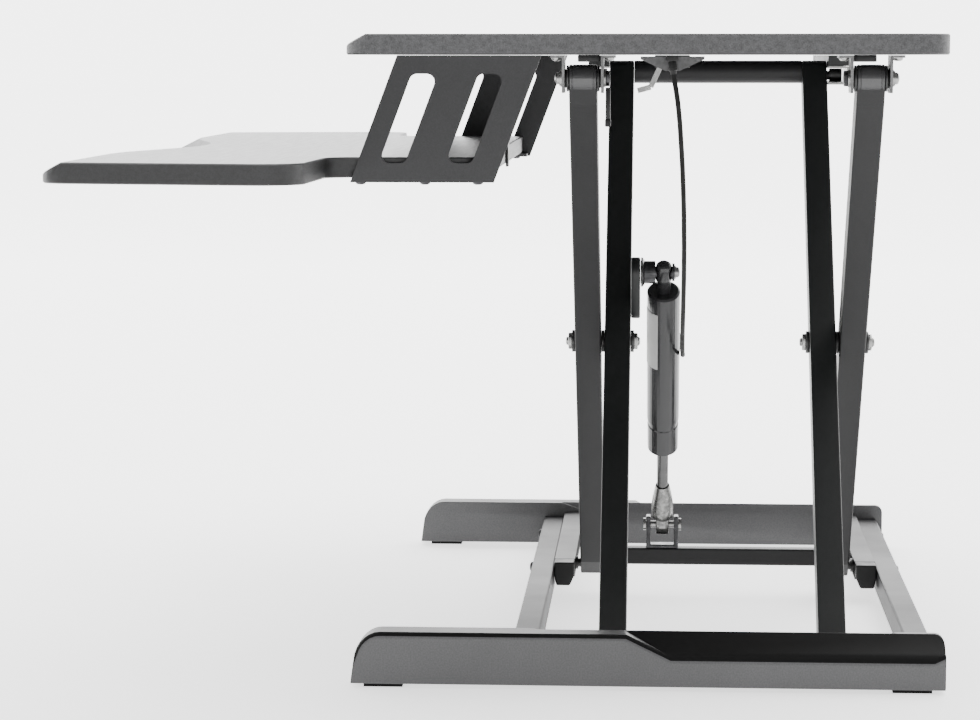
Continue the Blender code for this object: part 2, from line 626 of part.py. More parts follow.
make_desktop()
UPPER_FRONT = BLACK_FRONT - CHANNEL_FROM_LEG - CHANNEL_W
UPPER_REAR = BLACK_REAR + LEG_W + CHANNEL_FROM_LEG
make_channel("upper_channel_front", UPPER_FRONT, 1, CHANNEL_END, PIVOT_TOP_Z, ZINC, DESK)
make_channel("upper_channel_rear", UPPER_REAR + CHANNEL_W, -1, CHANNEL_END, PIVOT_TOP_Z, ZINC, DESK)
for end_name, side in (("front", UPPER_FRONT), ("rear", UPPER_REAR)):
    box(
        f"upper_channel_spacer_{end_name}",
        (-FOOT_IN + GAP, side, PIVOT_TOP_Z + HALF_CHANNEL + GAP),
        (CHANNEL_END, side + CHANNEL_W, BOARD_Z - GAP),
        BLACK_STEEL,
        DESK,
    )


HINGE_T, HINGE_CLEAR = 2 * MM, 3.2 * MM


def make_hinge_bracket(name, face, direction):
    """An L-shaped plate: a flange screwed to the board, and a leg with the pivot's hole."""
    thick, flange, half, below = HINGE_T, 11 * MM, 14 * MM, 11 * MM
    top = BOARD_Z - GAP
    bottom = PIVOT_TOP_Z - below
    far = face + direction * thick
    outline = [(face, bottom), (face, top), (face + direction * flange, top)]
    outline += [(face + direction * flange, top - thick), (far, top - thick), (far, bottom)]
    bracket = prism(name, outline, 0, PIVOT_X - half, PIVOT_X + half, ZINC, DESK)
    low = min(face, far) - MM
    hole(bracket, name + "_hole", (PIVOT_X, low, PIVOT_TOP_Z), (0, 1, 0), PIN_R + GAP, thick + 2 * MM)


def make_hinge_bolt(name, low, high):
    reach, head, nut, head_r = high - low + 2 * HINGE_T, 5 * MM, 4 * MM, 6 * MM
    profile = [(-head, head_r), (-GAP, head_r), (-GAP, PIN_R), (reach + GAP, PIN_R)]
    profile += [(reach + GAP, head_r), (reach + nut, head_r)]
    turned(name, profile, Vector((PIVOT_X, low - HINGE_T, PIVOT_TOP_Z)), (0, 1, 0), ZINC, DESK)


for end_name, low in (("front", GRAY_FRONT), ("rear", GRAY_REAR)):
    outer, inner = low - HINGE_CLEAR, low + LEG_W + HINGE_CLEAR
    make_hinge_bracket(f"hinge_bracket_{end_name}_outer", outer, -1)
    make_hinge_bracket(f"hinge_bracket_{end_name}_inner", inner, 1)
    make_hinge_bolt(f"hinge_bolt_{end_name}", outer, inner)


# Keyboard tray, between two slanted brackets


def tray_outline():
    """The right half, from the cut-out's middle to the rear, then mirrored."""
    steps = 10
    half = []
    for step in range(steps + 1):
        share = step / steps
        rise = TRAY_CUT_DEPTH * (1 + math.cos(math.pi * share)) / 2
        half.append((TRAY_CUT_HALF * share, TRAY_FRONT + rise))
    corner_x = TRAY_HALF_X - TRAY_TAPER - TRAY_FRONT_R
    half += arc((corner_x, TRAY_FRONT + TRAY_FRONT_R), TRAY_FRONT_R, -90, -8, 6)
    half += arc((TRAY_HALF_X - TRAY_SIDE_R, TRAY_SIDE_Y), TRAY_SIDE_R, -8, 75, 6)
    half += arc((TRAY_NECK_X + TRAY_NECK_R, TRAY_NECK_Y), TRAY_NECK_R, -100, -180, 5)
    half.append((TRAY_NECK_X, TRAY_REAR))
    return half[1:] + mirrored(half)


def make_tray():
    tray = slab("keyboard_tray", tray_outline(), TRAY_TOP, TRAY_T, BOARD, DESK)
    over, inward, down = 5 * MM, TRAY_BEVEL_IN, TRAY_BEVEL_DOWN
    far_front = 40 * MM
    bm = bmesh.new()
    rows = []
    steps = 24
    for step in range(steps + 1):
        x = -TRAY_HALF_X - over + (TRAY_HALF_X + over) * 2 * step / steps
        share = min(abs(x) / TRAY_CUT_HALF, 1)
        front = TRAY_FRONT + TRAY_CUT_DEPTH * (1 + math.cos(math.pi * share)) / 2
        section = (
            (front - over, TRAY_TOP - down - over * down / inward),
            (front - over - far_front, TRAY_TOP + over),
            (front + inward * (1 + over / down), TRAY_TOP + over),
        )
        rows.append([bm.verts.new((x, y, z)) for y, z in section])
    for first, last in zip(rows, rows[1:]):
        for corner in range(3):
            after = (corner + 1) % 3
            bm.faces.new((first[corner], first[after], last[after], last[corner]))
    bm.faces.new(rows[0])
    bm.faces.new(rows[-1])
    cut(tray, finish("tray_edge_cut", bm, BOARD, DESK, False))
    bevel(tray, 1 * MM, 1, 40)


def make_tray_bracket(name, side):
    """A slanted plate with two slots, and a flange at each end for the board and the tray."""
    face, inner = side * BRACKET_X, side * (BRACKET_X - BRACKET_T)
    top = BOARD_Z - GAP
    lean = BRACKET_LEAN * (top - BRACKET_BOTTOM)
    outline = [(BRACKET_FRONT, BRACKET_BOTTOM), (BRACKET_REAR, BRACKET_BOTTOM)]
    outline += [(BRACKET_REAR + lean, top), (BRACKET_FRONT + lean, top)]
    low, high = sorted((face, inner))
    plate = prism(name, outline, 0, low, high, GRAY_STEEL, DESK)
    for number, front in enumerate(SLOT_FRONTS):
        shift = BRACKET_LEAN * (SLOT_TOP - SLOT_BOTTOM)
        corners = [(front, SLOT_BOTTOM), (front + SLOT_W, SLOT_BOTTOM)]
        corners += [(front + SLOT_W + shift, SLOT_TOP), (front + shift, SLOT_TOP)]
        slot = prism(f"{name}_slot_{number}", rounded(corners, SLOT_R), 0, low - MM, high + MM, ZINC, DESK)
        cut(plate, slot)
    x0, x1 = sorted((side * (BRACKET_X - 0.2 * MM), side * (BRACKET_X - FLANGE)))
    for tag, y0, z0 in (
        ("tray", BRACKET_FRONT + MM, BRACKET_BOTTOM),
        ("board", BRACKET_FRONT + lean + MM, top - FLANGE_T),
    ):
        low, high = (x0, y0, z0), (x1, y0 + FLANGE_L, z0 + FLANGE_T)
        add(plate, box(f"{name}_{tag}_flange", low, high, GRAY_STEEL, DESK))


make_tray()
make_tray_bracket("tray_bracket_right", 1)
make_tray_bracket("tray_bracket_left", -1)

CLIP_HALF, CLIP_T, CLIP_BELOW, CLIP_ABOVE = 9 * MM, 2 * MM, 2.3 * MM, 3 * MM
clip_low = (-CLIP_HALF, TRAY_REAR + GAP, TRAY_TOP - TRAY_T - CLIP_BELOW)
clip_high = (CLIP_HALF, TRAY_REAR + GAP + CLIP_T, TRAY_TOP + CLIP_ABOVE)
box("tray_clip", clip_low, clip_high, PLASTIC, DESK)


# Release handle under the board's right edge, and its cable

HANDLE_Y = HANDLE_AXIS.y
mount_low = (HANDLE_AXIS.x - 9 * MM, HANDLE_Y - 13 * MM, HANDLE_AXIS.z - 6 * MM)
mount_high = (HANDLE_AXIS.x - 4.3 * MM, HANDLE_Y + 13 * MM, BOARD_Z - GAP)
bevel(box("handle_mount", mount_low, mount_high, PLASTIC, DESK), 0.8 * MM)


def make_handle():
    """A bent paddle: an arm from the pivot, and a face that narrows downwards."""
    face_x = HANDLE_AXIS.x + HANDLE_OUT
    top = BOARD_Z - 1.2 * MM
    shoulder, bottom = top - 2 * MM, top - HANDLE_H
    wide, narrow, arm_half = HANDLE_WIDE, HANDLE_NARROW, 12 * MM
    outline = [(HANDLE_Y - wide, top), (HANDLE_Y + wide, top), (HANDLE_Y + wide, shoulder)]
    outline += [(HANDLE_Y + narrow, bottom), (HANDLE_Y - narrow, bottom), (HANDLE_Y - wide, shoulder)]
    paddle = prism("release_handle", outline, 0, face_x - HANDLE_T, face_x, BLACK_STEEL, HANDLE)
    low = (HANDLE_AXIS.x - 3 * MM, HANDLE_Y - arm_half, HANDLE_AXIS.z - 1.5 * MM)
    high = (face_x - MM, HANDLE_Y + arm_half, HANDLE_AXIS.z + 1 * MM)
    add(paddle, box("handle_arm", low, high, BLACK_STEEL, HANDLE))


make_handle()

CABLE_R = 1.9 * MM
connector_low = (433.2 * MM, 122.5 * MM, 480.6 * MM)
connector_high = (440.8 * MM, 131.5 * MM, BOARD_Z - GAP)
bevel(box("cable_connector", connector_low, connector_high, PLASTIC, DESK), 0.8 * MM)
CABLE_ROUTE = [
    (437, 127, 480.2),
    (437, 128.3, 470),
    (433.5, 131.4, 450),
    (423, 134, 420),
    (405, 135.8, 388),
    (378, 136.8, 355),
    (342, 137.2, 325),
    (298, 137.2, 298),
    (248, 137.2, 275),
    (192, 137.4, 255),
    (134, 137.9, 240),
    (80, 138.4, 232),
    (40, 138.4, 231),
    (14, 135.5, 241),
    (10, 130, 258),
    (22, 125, 276),
    (46, 122.3, 289),
    (70, 122, 297),
    (90, 122, 299.6),
]


def make_cable():
    curve = bpy.data.curves.new("release_cable", "CURVE")
    curve.dimensions = "3D"
    curve.resolution_u = 6
    curve.bevel_depth = CABLE_R
    curve.bevel_resolution = 2
    curve.use_fill_caps = True
    spline = curve.splines.new("BEZIER")
    spline.bezier_points.add(len(CABLE_ROUTE) - 1)
    axis = DESK.matrix_world.translation
    for point, place in zip(spline.bezier_points, CABLE_ROUTE):
        point.co = Vector(place) * MM - axis
        point.handle_left_type = point.handle_right_type = "AUTO"
    cable = bpy.data.objects.new("release_cable", curve)
    bpy.context.collection.objects.link(cable)
    cable.parent = DESK
    curve.materials.append(RUBBER)


make_cable()
bpy.context.view_layer.update()
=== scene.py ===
# %% [markdown]
# # A standing desk converter
# A desk converter stands on an ordinary desk and lifts a screen and a keyboard to standing height. Two
# X-shaped frames carry a flat desktop, a keyboard tray hangs from it on two slanted brackets, and a gas
# spring with a release cable holds the height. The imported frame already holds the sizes, the joints and
# the solids. This lesson gives each of them its finish, and adds the small pieces that make it real.

# %% Load the frame
import json
import math

import bmesh
import bpy
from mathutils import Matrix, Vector


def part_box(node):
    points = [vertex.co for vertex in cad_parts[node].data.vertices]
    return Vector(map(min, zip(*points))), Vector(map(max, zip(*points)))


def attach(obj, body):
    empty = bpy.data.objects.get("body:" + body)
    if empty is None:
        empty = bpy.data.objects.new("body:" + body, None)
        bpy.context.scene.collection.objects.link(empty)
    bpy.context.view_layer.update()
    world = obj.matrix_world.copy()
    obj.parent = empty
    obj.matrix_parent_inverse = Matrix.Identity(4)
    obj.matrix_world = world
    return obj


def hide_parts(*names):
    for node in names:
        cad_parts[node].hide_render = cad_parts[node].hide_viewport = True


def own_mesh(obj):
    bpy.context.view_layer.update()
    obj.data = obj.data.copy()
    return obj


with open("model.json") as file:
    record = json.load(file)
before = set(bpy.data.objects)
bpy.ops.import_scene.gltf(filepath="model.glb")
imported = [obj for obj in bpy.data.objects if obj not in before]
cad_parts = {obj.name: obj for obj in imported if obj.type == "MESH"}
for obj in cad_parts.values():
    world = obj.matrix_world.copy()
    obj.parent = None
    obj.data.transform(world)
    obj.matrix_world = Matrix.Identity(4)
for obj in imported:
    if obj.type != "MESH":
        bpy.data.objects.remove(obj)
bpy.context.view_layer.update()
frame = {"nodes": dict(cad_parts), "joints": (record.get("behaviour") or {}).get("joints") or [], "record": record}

MM = 0.001
nodes = frame["nodes"]

# %% [markdown]
# ## The camera
# A long lens from the user's right side shows the desktop edge-on, which is how this kind of lift is best
# understood: every arm of the X can be followed from the feet to the desktop. The lens is about 107 mm,
# so that the near foot is only a little larger than the far one. A camera looks along its own -Z axis,
# so two turns of 90 degrees make it look along -X, and the small angles after them aim it.

# %% Camera
def add_camera(place, yaw, pitch, lens):
    data = bpy.data.cameras.new("camera")
    data.lens = lens
    data.clip_start, data.clip_end = 0.05, 50
    camera = bpy.data.objects.new("camera", data)
    bpy.context.scene.collection.objects.link(camera)
    camera.location = place
    camera.rotation_euler = (math.radians(90 - pitch), 0, math.radians(90 + yaw))
    bpy.context.scene.camera = camera
    return camera


camera = add_camera((2.5476, 0.1217, 0.4843), yaw=3.407, pitch=5.949, lens=107.26)
print("camera at", tuple(round(v, 3) for v in camera.location))

# %% [markdown]
# ## Modelling by hand, in code
# Every new piece is made with the same operators that a person uses in edit mode. An operator works on
# what is selected, so each helper starts from nothing selected, picks its faces or edges by where they
# are, and leaves a finished mesh whose object sits at the origin.

# %% Selection and finishing helpers
def deselect():
    if bpy.context.mode != "OBJECT":
        bpy.ops.object.mode_set(mode="OBJECT")
    bpy.ops.object.select_all(action="DESELECT")


def edit(obj):
    deselect()
    bpy.context.view_layer.objects.active = obj
    obj.select_set(True)
    bpy.ops.object.mode_set(mode="EDIT")
    bpy.ops.mesh.select_all(action="DESELECT")


def pick(obj, kind, test):
    """In edit mode, selects just the vertices, edges or faces that pass the test."""
    bpy.ops.mesh.select_mode(type={"verts": "VERT", "edges": "EDGE", "faces": "FACE"}[kind])
    bpy.ops.mesh.select_all(action="DESELECT")
    mesh = bmesh.from_edit_mesh(obj.data)
    found = [part for part in getattr(mesh, kind) if test(part)]
    for part in found:
        part.select_set(True)
    mesh.select_flush_mode()
    bmesh.update_edit_mesh(obj.data)
    return len(found)


def middle(part):
    return sum((v.co for v in part.verts), Vector()) / len(part.verts)


def settle(obj, name, body, material, smooth=35):
    """Puts the piece's place into its mesh, shades it, and fixes it to its body."""
    if bpy.context.mode != "OBJECT":
        bpy.ops.object.mode_set(mode="OBJECT")
    deselect()
    bpy.context.view_layer.objects.active = obj
    obj.select_set(True)
    for modifier in list(obj.modifiers):
        bpy.ops.object.modifier_apply(modifier=modifier.name)
    bpy.ops.object.transform_apply(location=True, rotation=True, scale=True)
    edit(obj)
    bpy.ops.mesh.select_all(action="SELECT")
    bpy.ops.mesh.remove_doubles(threshold=1e-6)
    bpy.ops.mesh.normals_make_consistent(inside=False)
    bpy.ops.object.mode_set(mode="OBJECT")
    bpy.ops.object.shade_smooth_by_angle(angle=math.radians(smooth))
    obj.name = name
    obj.data.name = name
    obj.data.materials.clear()
    obj.data.materials.append(material)
    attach(obj, body)
    return obj

# %% [markdown]
# ## Turned pieces
# Bolts, washers, bushings and ferrules are all turned on a lathe, so one helper makes them. It starts
# from a flat disc, and pushes its face up and in or out at each point of the profile. Then the piece is
# stood on the line where it belongs. A small bevel along its sharp edges catches the light, as the
# broken edge of a real machined piece does.

# %% Turned pieces
def turn_up(profile, sides=32):
    """Grows a disc along +Z through (radius, height) points."""
    deselect()
    (radius, height), *others = profile
    bpy.ops.mesh.primitive_circle_add(
        vertices=sides, radius=radius, fill_type="NGON", location=(0, 0, height)
    )
    obj = bpy.context.object
    bpy.ops.object.transform_apply(location=True)
    bpy.ops.object.mode_set(mode="EDIT")
    bpy.ops.mesh.select_all(action="SELECT")
    for wide, high in others:
        bpy.ops.mesh.extrude_region_move(TRANSFORM_OT_translate={"value": (0, 0, high - height)})
        bpy.ops.transform.resize(value=(wide / radius, wide / radius, 1), center_override=(0, 0, high))
        radius, height = wide, high
    bpy.ops.object.mode_set(mode="OBJECT")
    return obj


def soften(obj, width, segments=2, angle=30):
    """Bevels every edge sharper than the angle."""
    edit(obj)
    bpy.ops.mesh.select_all(action="SELECT")
    bpy.ops.mesh.normals_make_consistent(inside=False)
    limit = math.radians(angle)
    pick(obj, "edges", lambda e: len(e.link_faces) == 2 and e.calc_face_angle() > limit)
    bpy.ops.mesh.bevel(offset=width, segments=segments, affect="EDGES", clamp_overlap=True)
    bpy.ops.object.mode_set(mode="OBJECT")
    return obj


def stand(obj, place, direction):
    """Turns +Z to the direction and moves the piece to its place."""
    obj.rotation_euler = Vector((0, 0, 1)).rotation_difference(Vector(direction)).to_euler()
    obj.location = place
    return obj


def block(low, high):
    """A cube primitive sized to two corners."""
    deselect()
    low, high = Vector(low), Vector(high)
    bpy.ops.mesh.primitive_cube_add(size=1, location=(low + high) / 2, scale=high - low)
    obj = bpy.context.object
    bpy.ops.object.transform_apply(location=True, rotation=True, scale=True)
    return obj


first_of_kind = {}


def repeated(kind, build):
    """The piece that build() models the first time, and a copy with its own mesh every time after."""
    if kind not in first_of_kind:
        made = build()
        first_of_kind[kind] = made.data.copy()
        return made
    copy = bpy.data.objects.new("copy", first_of_kind[kind].copy())
    bpy.context.scene.collection.objects.link(copy)
    return copy


print("helpers for turned and squared pieces are ready")

# %% [markdown]
# ## Finishes
# A finish is a small network of nodes. Wiring each node by hand is long, so a few helpers add a node with
# its values, do sums, and stretch or mix what comes out of it. Each material then reads like a recipe.

# %% Node helpers
def new_group(name, inputs, outputs):
    group = bpy.data.node_groups.new(name, "ShaderNodeTree")
    for label, kind, value in inputs:
        socket = group.interface.new_socket(label, in_out="INPUT", socket_type=kind)
        socket.default_value = value
    for label, kind in outputs:
        group.interface.new_socket(label, in_out="OUTPUT", socket_type=kind)
    return group, group.nodes.new("NodeGroupInput"), group.nodes.new("NodeGroupOutput")


def add_node(tree, kind, settings=None, **inputs):
    """Adds a node, sets its properties, and joins or fills its inputs by name or number."""
    node = tree.nodes.new(kind)
    for label, value in (settings or {}).items():
        setattr(node, label, value)
    for label, value in inputs.items():
        socket = node.inputs[int(label[1:])] if label[0] == "_" else node.inputs[label.replace("_", " ")]
        if isinstance(value, bpy.types.NodeSocket):
            tree.links.new(value, socket)
        else:
            socket.default_value = value
    return node


def maths(tree, operation, first, second):
    return add_node(tree, "ShaderNodeMath", {"operation": operation}, _0=first, _1=second).outputs[0]


def remap(tree, value, low, high, to_low, to_high):
    made = add_node(tree, "ShaderNodeMapRange", None, Value=value)
    for label, number in (("From Min", low), ("From Max", high), ("To Min", to_low), ("To Max", to_high)):
        socket = made.inputs[label]
        if isinstance(number, bpy.types.NodeSocket):
            tree.links.new(number, socket)
        else:
            socket.default_value = number
    return made.outputs[0]


def mix(tree, factor, first, second, blend="MIX"):
    made = tree.nodes.new("ShaderNodeMix")
    made.data_type = "RGBA"
    made.blend_type = blend
    for index, value in ((0, factor), (6, first), (7, second)):
        if isinstance(value, bpy.types.NodeSocket):
            tree.links.new(value, made.inputs[index])
        else:
            made.inputs[index].default_value = value
    return made.outputs[2]


COLOUR, NUMBER = "NodeSocketColor", "NodeSocketFloat"
print("node helpers are ready")

# %% [markdown]
# ## Powder coat
# Most of the frame is steel under a fine powder coat: slightly pebbled, satin, and never quite even. That
# effect is needed in several grays, so it is a node group with named sockets. It puts out a colour, a
# roughness and a height, and each material feeds them to its own Principled shader.

# %% Powder coat
def make_powder_coat():
    group, given, out = new_group(
        "powder_coat",
        [("Colour", COLOUR, (0.03, 0.03, 0.03, 1)), ("Roughness", NUMBER, 0.4), ("Pebble", NUMBER, 900)],
        [("Colour", COLOUR), ("Roughness", NUMBER), ("Height", NUMBER)],
    )
    place = add_node(group, "ShaderNodeTexCoord").outputs["Object"]
    pebble = add_node(group, "ShaderNodeTexNoise", Vector=place, Scale=given.outputs["Pebble"], Detail=2.0)
    cloud = add_node(group, "ShaderNodeTexNoise", Vector=place, Scale=7.0, Detail=4.0, Roughness=0.6)
    shade = remap(group, cloud.outputs[0], 0.3, 0.7, 0.9, 1.12)
    speck = remap(group, pebble.outputs[0], 0.35, 0.65, 0.9, 1.1)
    tint = maths(group, "MULTIPLY", shade, speck)
    grey = add_node(group, "ShaderNodeCombineColor", Red=tint, Green=tint, Blue=tint).outputs[0]
    group.links.new(mix(group, 1.0, given.outputs["Colour"], grey, "MULTIPLY"), out.inputs["Colour"])
    drift = remap(group, cloud.outputs[0], 0.3, 0.7, -0.05, 0.06)
    group.links.new(maths(group, "ADD", given.outputs["Roughness"], drift), out.inputs["Roughness"])
    group.links.new(pebble.outputs[0], out.inputs["Height"])
    return group


POWDER_COAT = make_powder_coat()


def new_material(name, metallic=0.0, specular=0.5):
    made = bpy.data.materials.new(name)
    made.use_nodes = True
    tree = made.node_tree
    shader = tree.nodes["Principled BSDF"]
    shader.inputs["Metallic"].default_value = metallic
    shader.inputs["Specular IOR Level"].default_value = specular
    return made, tree, shader


def bump(tree, shader, height, strength, distance):
    made = add_node(tree, "ShaderNodeBump", Height=height, Strength=strength, Distance=distance)
    tree.links.new(made.outputs[0], shader.inputs["Normal"])


def powder_material(name, colour, roughness, pebble=900.0, specular=0.5, strength=0.25):
    made, tree, shader = new_material(name, specular=specular)
    coat = add_node(tree, "ShaderNodeGroup", {"node_tree": POWDER_COAT})
    coat.inputs["Colour"].default_value = (*colour, 1)
    coat.inputs["Roughness"].default_value = roughness
    coat.inputs["Pebble"].default_value = pebble
    tree.links.new(coat.outputs["Colour"], shader.inputs["Base Color"])
    tree.links.new(coat.outputs["Roughness"], shader.inputs["Roughness"])
    bump(tree, shader, coat.outputs["Height"], strength, 0.0002)
    return made


gray_coat = powder_material("gray_powder_coat", (0.008, 0.008, 0.0085), 0.44, 900.0, 0.28)
black_coat = powder_material("black_powder_coat", (0.010, 0.011, 0.011), 0.42, 1100.0, 0.35)
print("finishes so far:", gray_coat.name, black_coat.name)

# %% [markdown]
# ## Laminate
# The desktop and the tray are board under a dark laminate with a fine wood grain that runs along the
# desktop. Stretched noise gives the grain: the pattern is squeezed across the grain and left long along
# it. It changes the colour a little, the gloss a little more, and cuts shallow pores.

# %% Laminate material
def make_grain():
    group, given, out = new_group(
        "wood_grain",
        [("Dark", COLOUR, (0.02, 0.02, 0.02, 1)), ("Light", COLOUR, (0.08, 0.08, 0.08, 1)),
         ("Roughness", NUMBER, 0.35)],
        [("Colour", COLOUR), ("Roughness", NUMBER), ("Height", NUMBER)],
    )
    place = add_node(group, "ShaderNodeTexCoord").outputs["Object"]
    stretched = add_node(group, "ShaderNodeMapping", Vector=place)
    stretched.inputs["Scale"].default_value = (14, 260, 320)
    fibre = add_node(group, "ShaderNodeTexNoise", Vector=stretched.outputs[0], Scale=1.0)
    fibre.inputs["Detail"].default_value = 5.0
    fibre.inputs["Roughness"].default_value = 0.62
    speckle = add_node(group, "ShaderNodeTexNoise", Vector=place, Scale=900.0, Detail=4.0, Roughness=0.75)
    both = mix(group, 0.6, fibre.outputs[0], speckle.outputs[0])
    level = add_node(group, "ShaderNodeSeparateColor", Color=both).outputs[0]
    share = remap(group, level, 0.38, 0.62, 0.0, 1.0)
    group.links.new(mix(group, share, given.outputs["Dark"], given.outputs["Light"]), out.inputs["Colour"])
    drift = remap(group, level, 0.35, 0.65, 0.06, -0.06)
    group.links.new(maths(group, "ADD", given.outputs["Roughness"], drift), out.inputs["Roughness"])
    group.links.new(level, out.inputs["Height"])
    return group


WOOD_GRAIN = make_grain()


def laminate_material(name, dark, light, roughness, strength):
    made, tree, shader = new_material(name)
    grain = add_node(tree, "ShaderNodeGroup", {"node_tree": WOOD_GRAIN})
    grain.inputs["Dark"].default_value = (*dark, 1)
    grain.inputs["Light"].default_value = (*light, 1)
    grain.inputs["Roughness"].default_value = roughness
    tree.links.new(grain.outputs["Colour"], shader.inputs["Base Color"])
    tree.links.new(grain.outputs["Roughness"], shader.inputs["Roughness"])
    bump(tree, shader, grain.outputs["Height"], strength, 0.0002)
    return made


laminate = laminate_material("black_laminate", (0.016, 0.016, 0.017), (0.05, 0.05, 0.052), 0.34, 0.25)
print("laminate ready")

# %% [markdown]
# ## Metal, plastic, rubber and nylon
# Zinc-plated hardware is bright with faint cloudy stains from the bath, and the dark bolts are blackened.
# The moulded plastic has a fine spark-eroded texture, rubber is dull, and black nylon is smooth. All of
# them are a soft cloud of two shades over a fine grain, so one more node group serves them all.

# %% Cloudy finish
def make_cloudy_finish():
    group, given, out = new_group(
        "cloudy_finish",
        [("Darker", COLOUR, (0.1, 0.1, 0.1, 1)), ("Lighter", COLOUR, (0.2, 0.2, 0.2, 1)),
         ("Dull", NUMBER, 0.4), ("Shiny", NUMBER, 0.3), ("Cloud", NUMBER, 100.0), ("Grain", NUMBER, 1500.0)],
        [("Colour", COLOUR), ("Roughness", NUMBER), ("Height", NUMBER)],
    )
    place = add_node(group, "ShaderNodeTexCoord").outputs["Object"]
    cloud = add_node(group, "ShaderNodeTexNoise", Vector=place, Scale=given.outputs["Cloud"], Detail=4.0)
    share = remap(group, cloud.outputs[0], 0.35, 0.65, 0.0, 1.0)
    colour = mix(group, share, given.outputs["Darker"], given.outputs["Lighter"])
    group.links.new(colour, out.inputs["Colour"])
    drift = remap(group, cloud.outputs[0], 0.35, 0.65, given.outputs["Dull"], given.outputs["Shiny"])
    group.links.new(drift, out.inputs["Roughness"])
    grain = add_node(group, "ShaderNodeTexNoise", Vector=place, Scale=given.outputs["Grain"], Detail=2.0)
    group.links.new(grain.outputs[0], out.inputs["Height"])
    return group


CLOUDY_FINISH = make_cloudy_finish()


def cloudy_material(name, colour, roughness, metallic, cloud, spread, grain, strength, specular=0.5):
    made, tree, shader = new_material(name, metallic, specular)
    finish = add_node(tree, "ShaderNodeGroup", {"node_tree": CLOUDY_FINISH})
    finish.inputs["Darker"].default_value = (*(c * (1 - spread) for c in colour), 1)
    finish.inputs["Lighter"].default_value = (*(c * (1 + spread) for c in colour), 1)
    finish.inputs["Dull"].default_value = roughness + 0.08
    finish.inputs["Shiny"].default_value = roughness - 0.06
    finish.inputs["Cloud"].default_value = cloud
    finish.inputs["Grain"].default_value = grain
    tree.links.new(finish.outputs["Colour"], shader.inputs["Base Color"])
    tree.links.new(finish.outputs["Roughness"], shader.inputs["Roughness"])
    bump(tree, shader, finish.outputs["Height"], strength, 0.0001)
    return made


zinc = cloudy_material("zinc_plate", (0.28, 0.28, 0.275), 0.28, 1.0, 130.0, 0.12, 1500.0, 0.1)
# Blackened steel for the dark bolts; on the zinc clevis the same finish is painted shade.
dark_steel_and_painted_shade = cloudy_material("blackened_steel", (0.05, 0.05, 0.052), 0.32, 0.9, 160.0, 0.25, 1500.0, 0.15)
chrome = cloudy_material("ground_steel", (0.1, 0.1, 0.1), 0.16, 1.0, 90.0, 0.05, 2500.0, 0.05)
plastic = cloudy_material("moulded_plastic", (0.009, 0.009, 0.009), 0.42, 0.0, 60.0, 0.15, 1800.0, 0.3, 0.25)
rubber = cloudy_material("rubber", (0.006, 0.006, 0.006), 0.7, 0.0, 90.0, 0.25, 900.0, 0.4, 0.15)
nylon = cloudy_material("black_nylon", (0.014, 0.014, 0.014), 0.34, 0.0, 80.0, 0.12, 1200.0, 0.12)
spring_paint = powder_material("spring_enamel", (0.014, 0.014, 0.015), 0.24, 1400.0, 0.5, 0.08)

FINISHES = {
    "board": laminate,
    "gray_steel": gray_coat,
    "black_steel": black_coat,
    "zinc": zinc,
    "dark_bolt": dark_steel_and_painted_shade,
    "plastic": plastic,
    "rubber": rubber,
    "nylon": nylon,
}
for part in frame["record"]["subparts"]:
    obj = nodes[part["node"]]
    obj.data.materials.clear()
    obj.data.materials.append(FINISHES[part["material_slot"]])
for name in ("spring_cylinder", "spring_eye"):
    nodes[name].data.materials[0] = spring_paint
nodes["spring_rod"].data.materials[0] = chrome
bracket_coat = powder_material("bracket_powder_coat", (0.02, 0.02, 0.021), 0.4, 900.0, 0.35)
for side_name in ("right", "left"):
    nodes[f"tray_bracket_{side_name}"].data.materials[0] = bracket_coat
bracket_zinc = cloudy_material("bracket_zinc", (0.13, 0.13, 0.13), 0.3, 1.0, 130.0, 0.2, 1500.0, 0.1)
for end in ("front", "rear"):
    for side_name in ("outer", "inner"):
        nodes[f"hinge_bracket_{end}_{side_name}"].data.materials[0] = bracket_zinc
print("every node has a finish")

# %% [markdown]
# ## The cable
# The release cable leaves a small clamp behind the handle, hangs in one loose curve and comes back up to
# the gas spring's head. The real cable is 3.8 mm thick and fairly stiff, and folds up when the desktop
# comes down. Here it is a mesh tube along its route, fixed to the desktop.

# %% Cable
CABLE_ROUTE = [
    (437, 127, 480.2),
    (437, 128.3, 470),
    (433.5, 131.4, 450),
    (423, 134, 420),
    (405, 135.8, 388),
    (378, 136.8, 355),
    (342, 137.2, 325),
    (298, 137.2, 298),
    (248, 137.2, 275),
    (192, 137.4, 255),
    (134, 137.9, 240),
    (80, 138.4, 232),
    (40, 138.4, 231),
    (14, 135.5, 241),
    (10, 130, 258),
    (22, 125, 276),
    (46, 122.3, 289),
    (70, 122, 297),
    (90, 122, 299.6),
]
CABLE_R = 1.9 * MM


def make_cable():
    curve = bpy.data.curves.new("release_cable_sheath", "CURVE")
    curve.dimensions = "3D"
    curve.resolution_u = 12
    curve.bevel_depth = CABLE_R
    curve.bevel_resolution = 5
    curve.use_fill_caps = True
    spline = curve.splines.new("BEZIER")
    spline.bezier_points.add(len(CABLE_ROUTE) - 1)
    for point, place in zip(spline.bezier_points, CABLE_ROUTE):
        point.co = Vector(place) * MM
        point.handle_left_type = point.handle_right_type = "AUTO"
    cable = bpy.data.objects.new("release_cable_sheath", curve)
    bpy.context.scene.collection.objects.link(cable)
    bpy.context.view_layer.update()
    bare = curve.copy()
    bare.bevel_depth = 0
    line = bpy.data.objects.new("line", bare)
    bpy.context.scene.collection.objects.link(line)
    bpy.context.view_layer.update()
    path = [v.co.copy() for v in line.to_mesh().vertices]
    line.to_mesh_clear()
    bpy.data.objects.remove(line)
    deselect()
    bpy.context.view_layer.objects.active = cable
    cable.select_set(True)
    bpy.ops.object.convert(target="MESH")
    return bpy.context.object, path


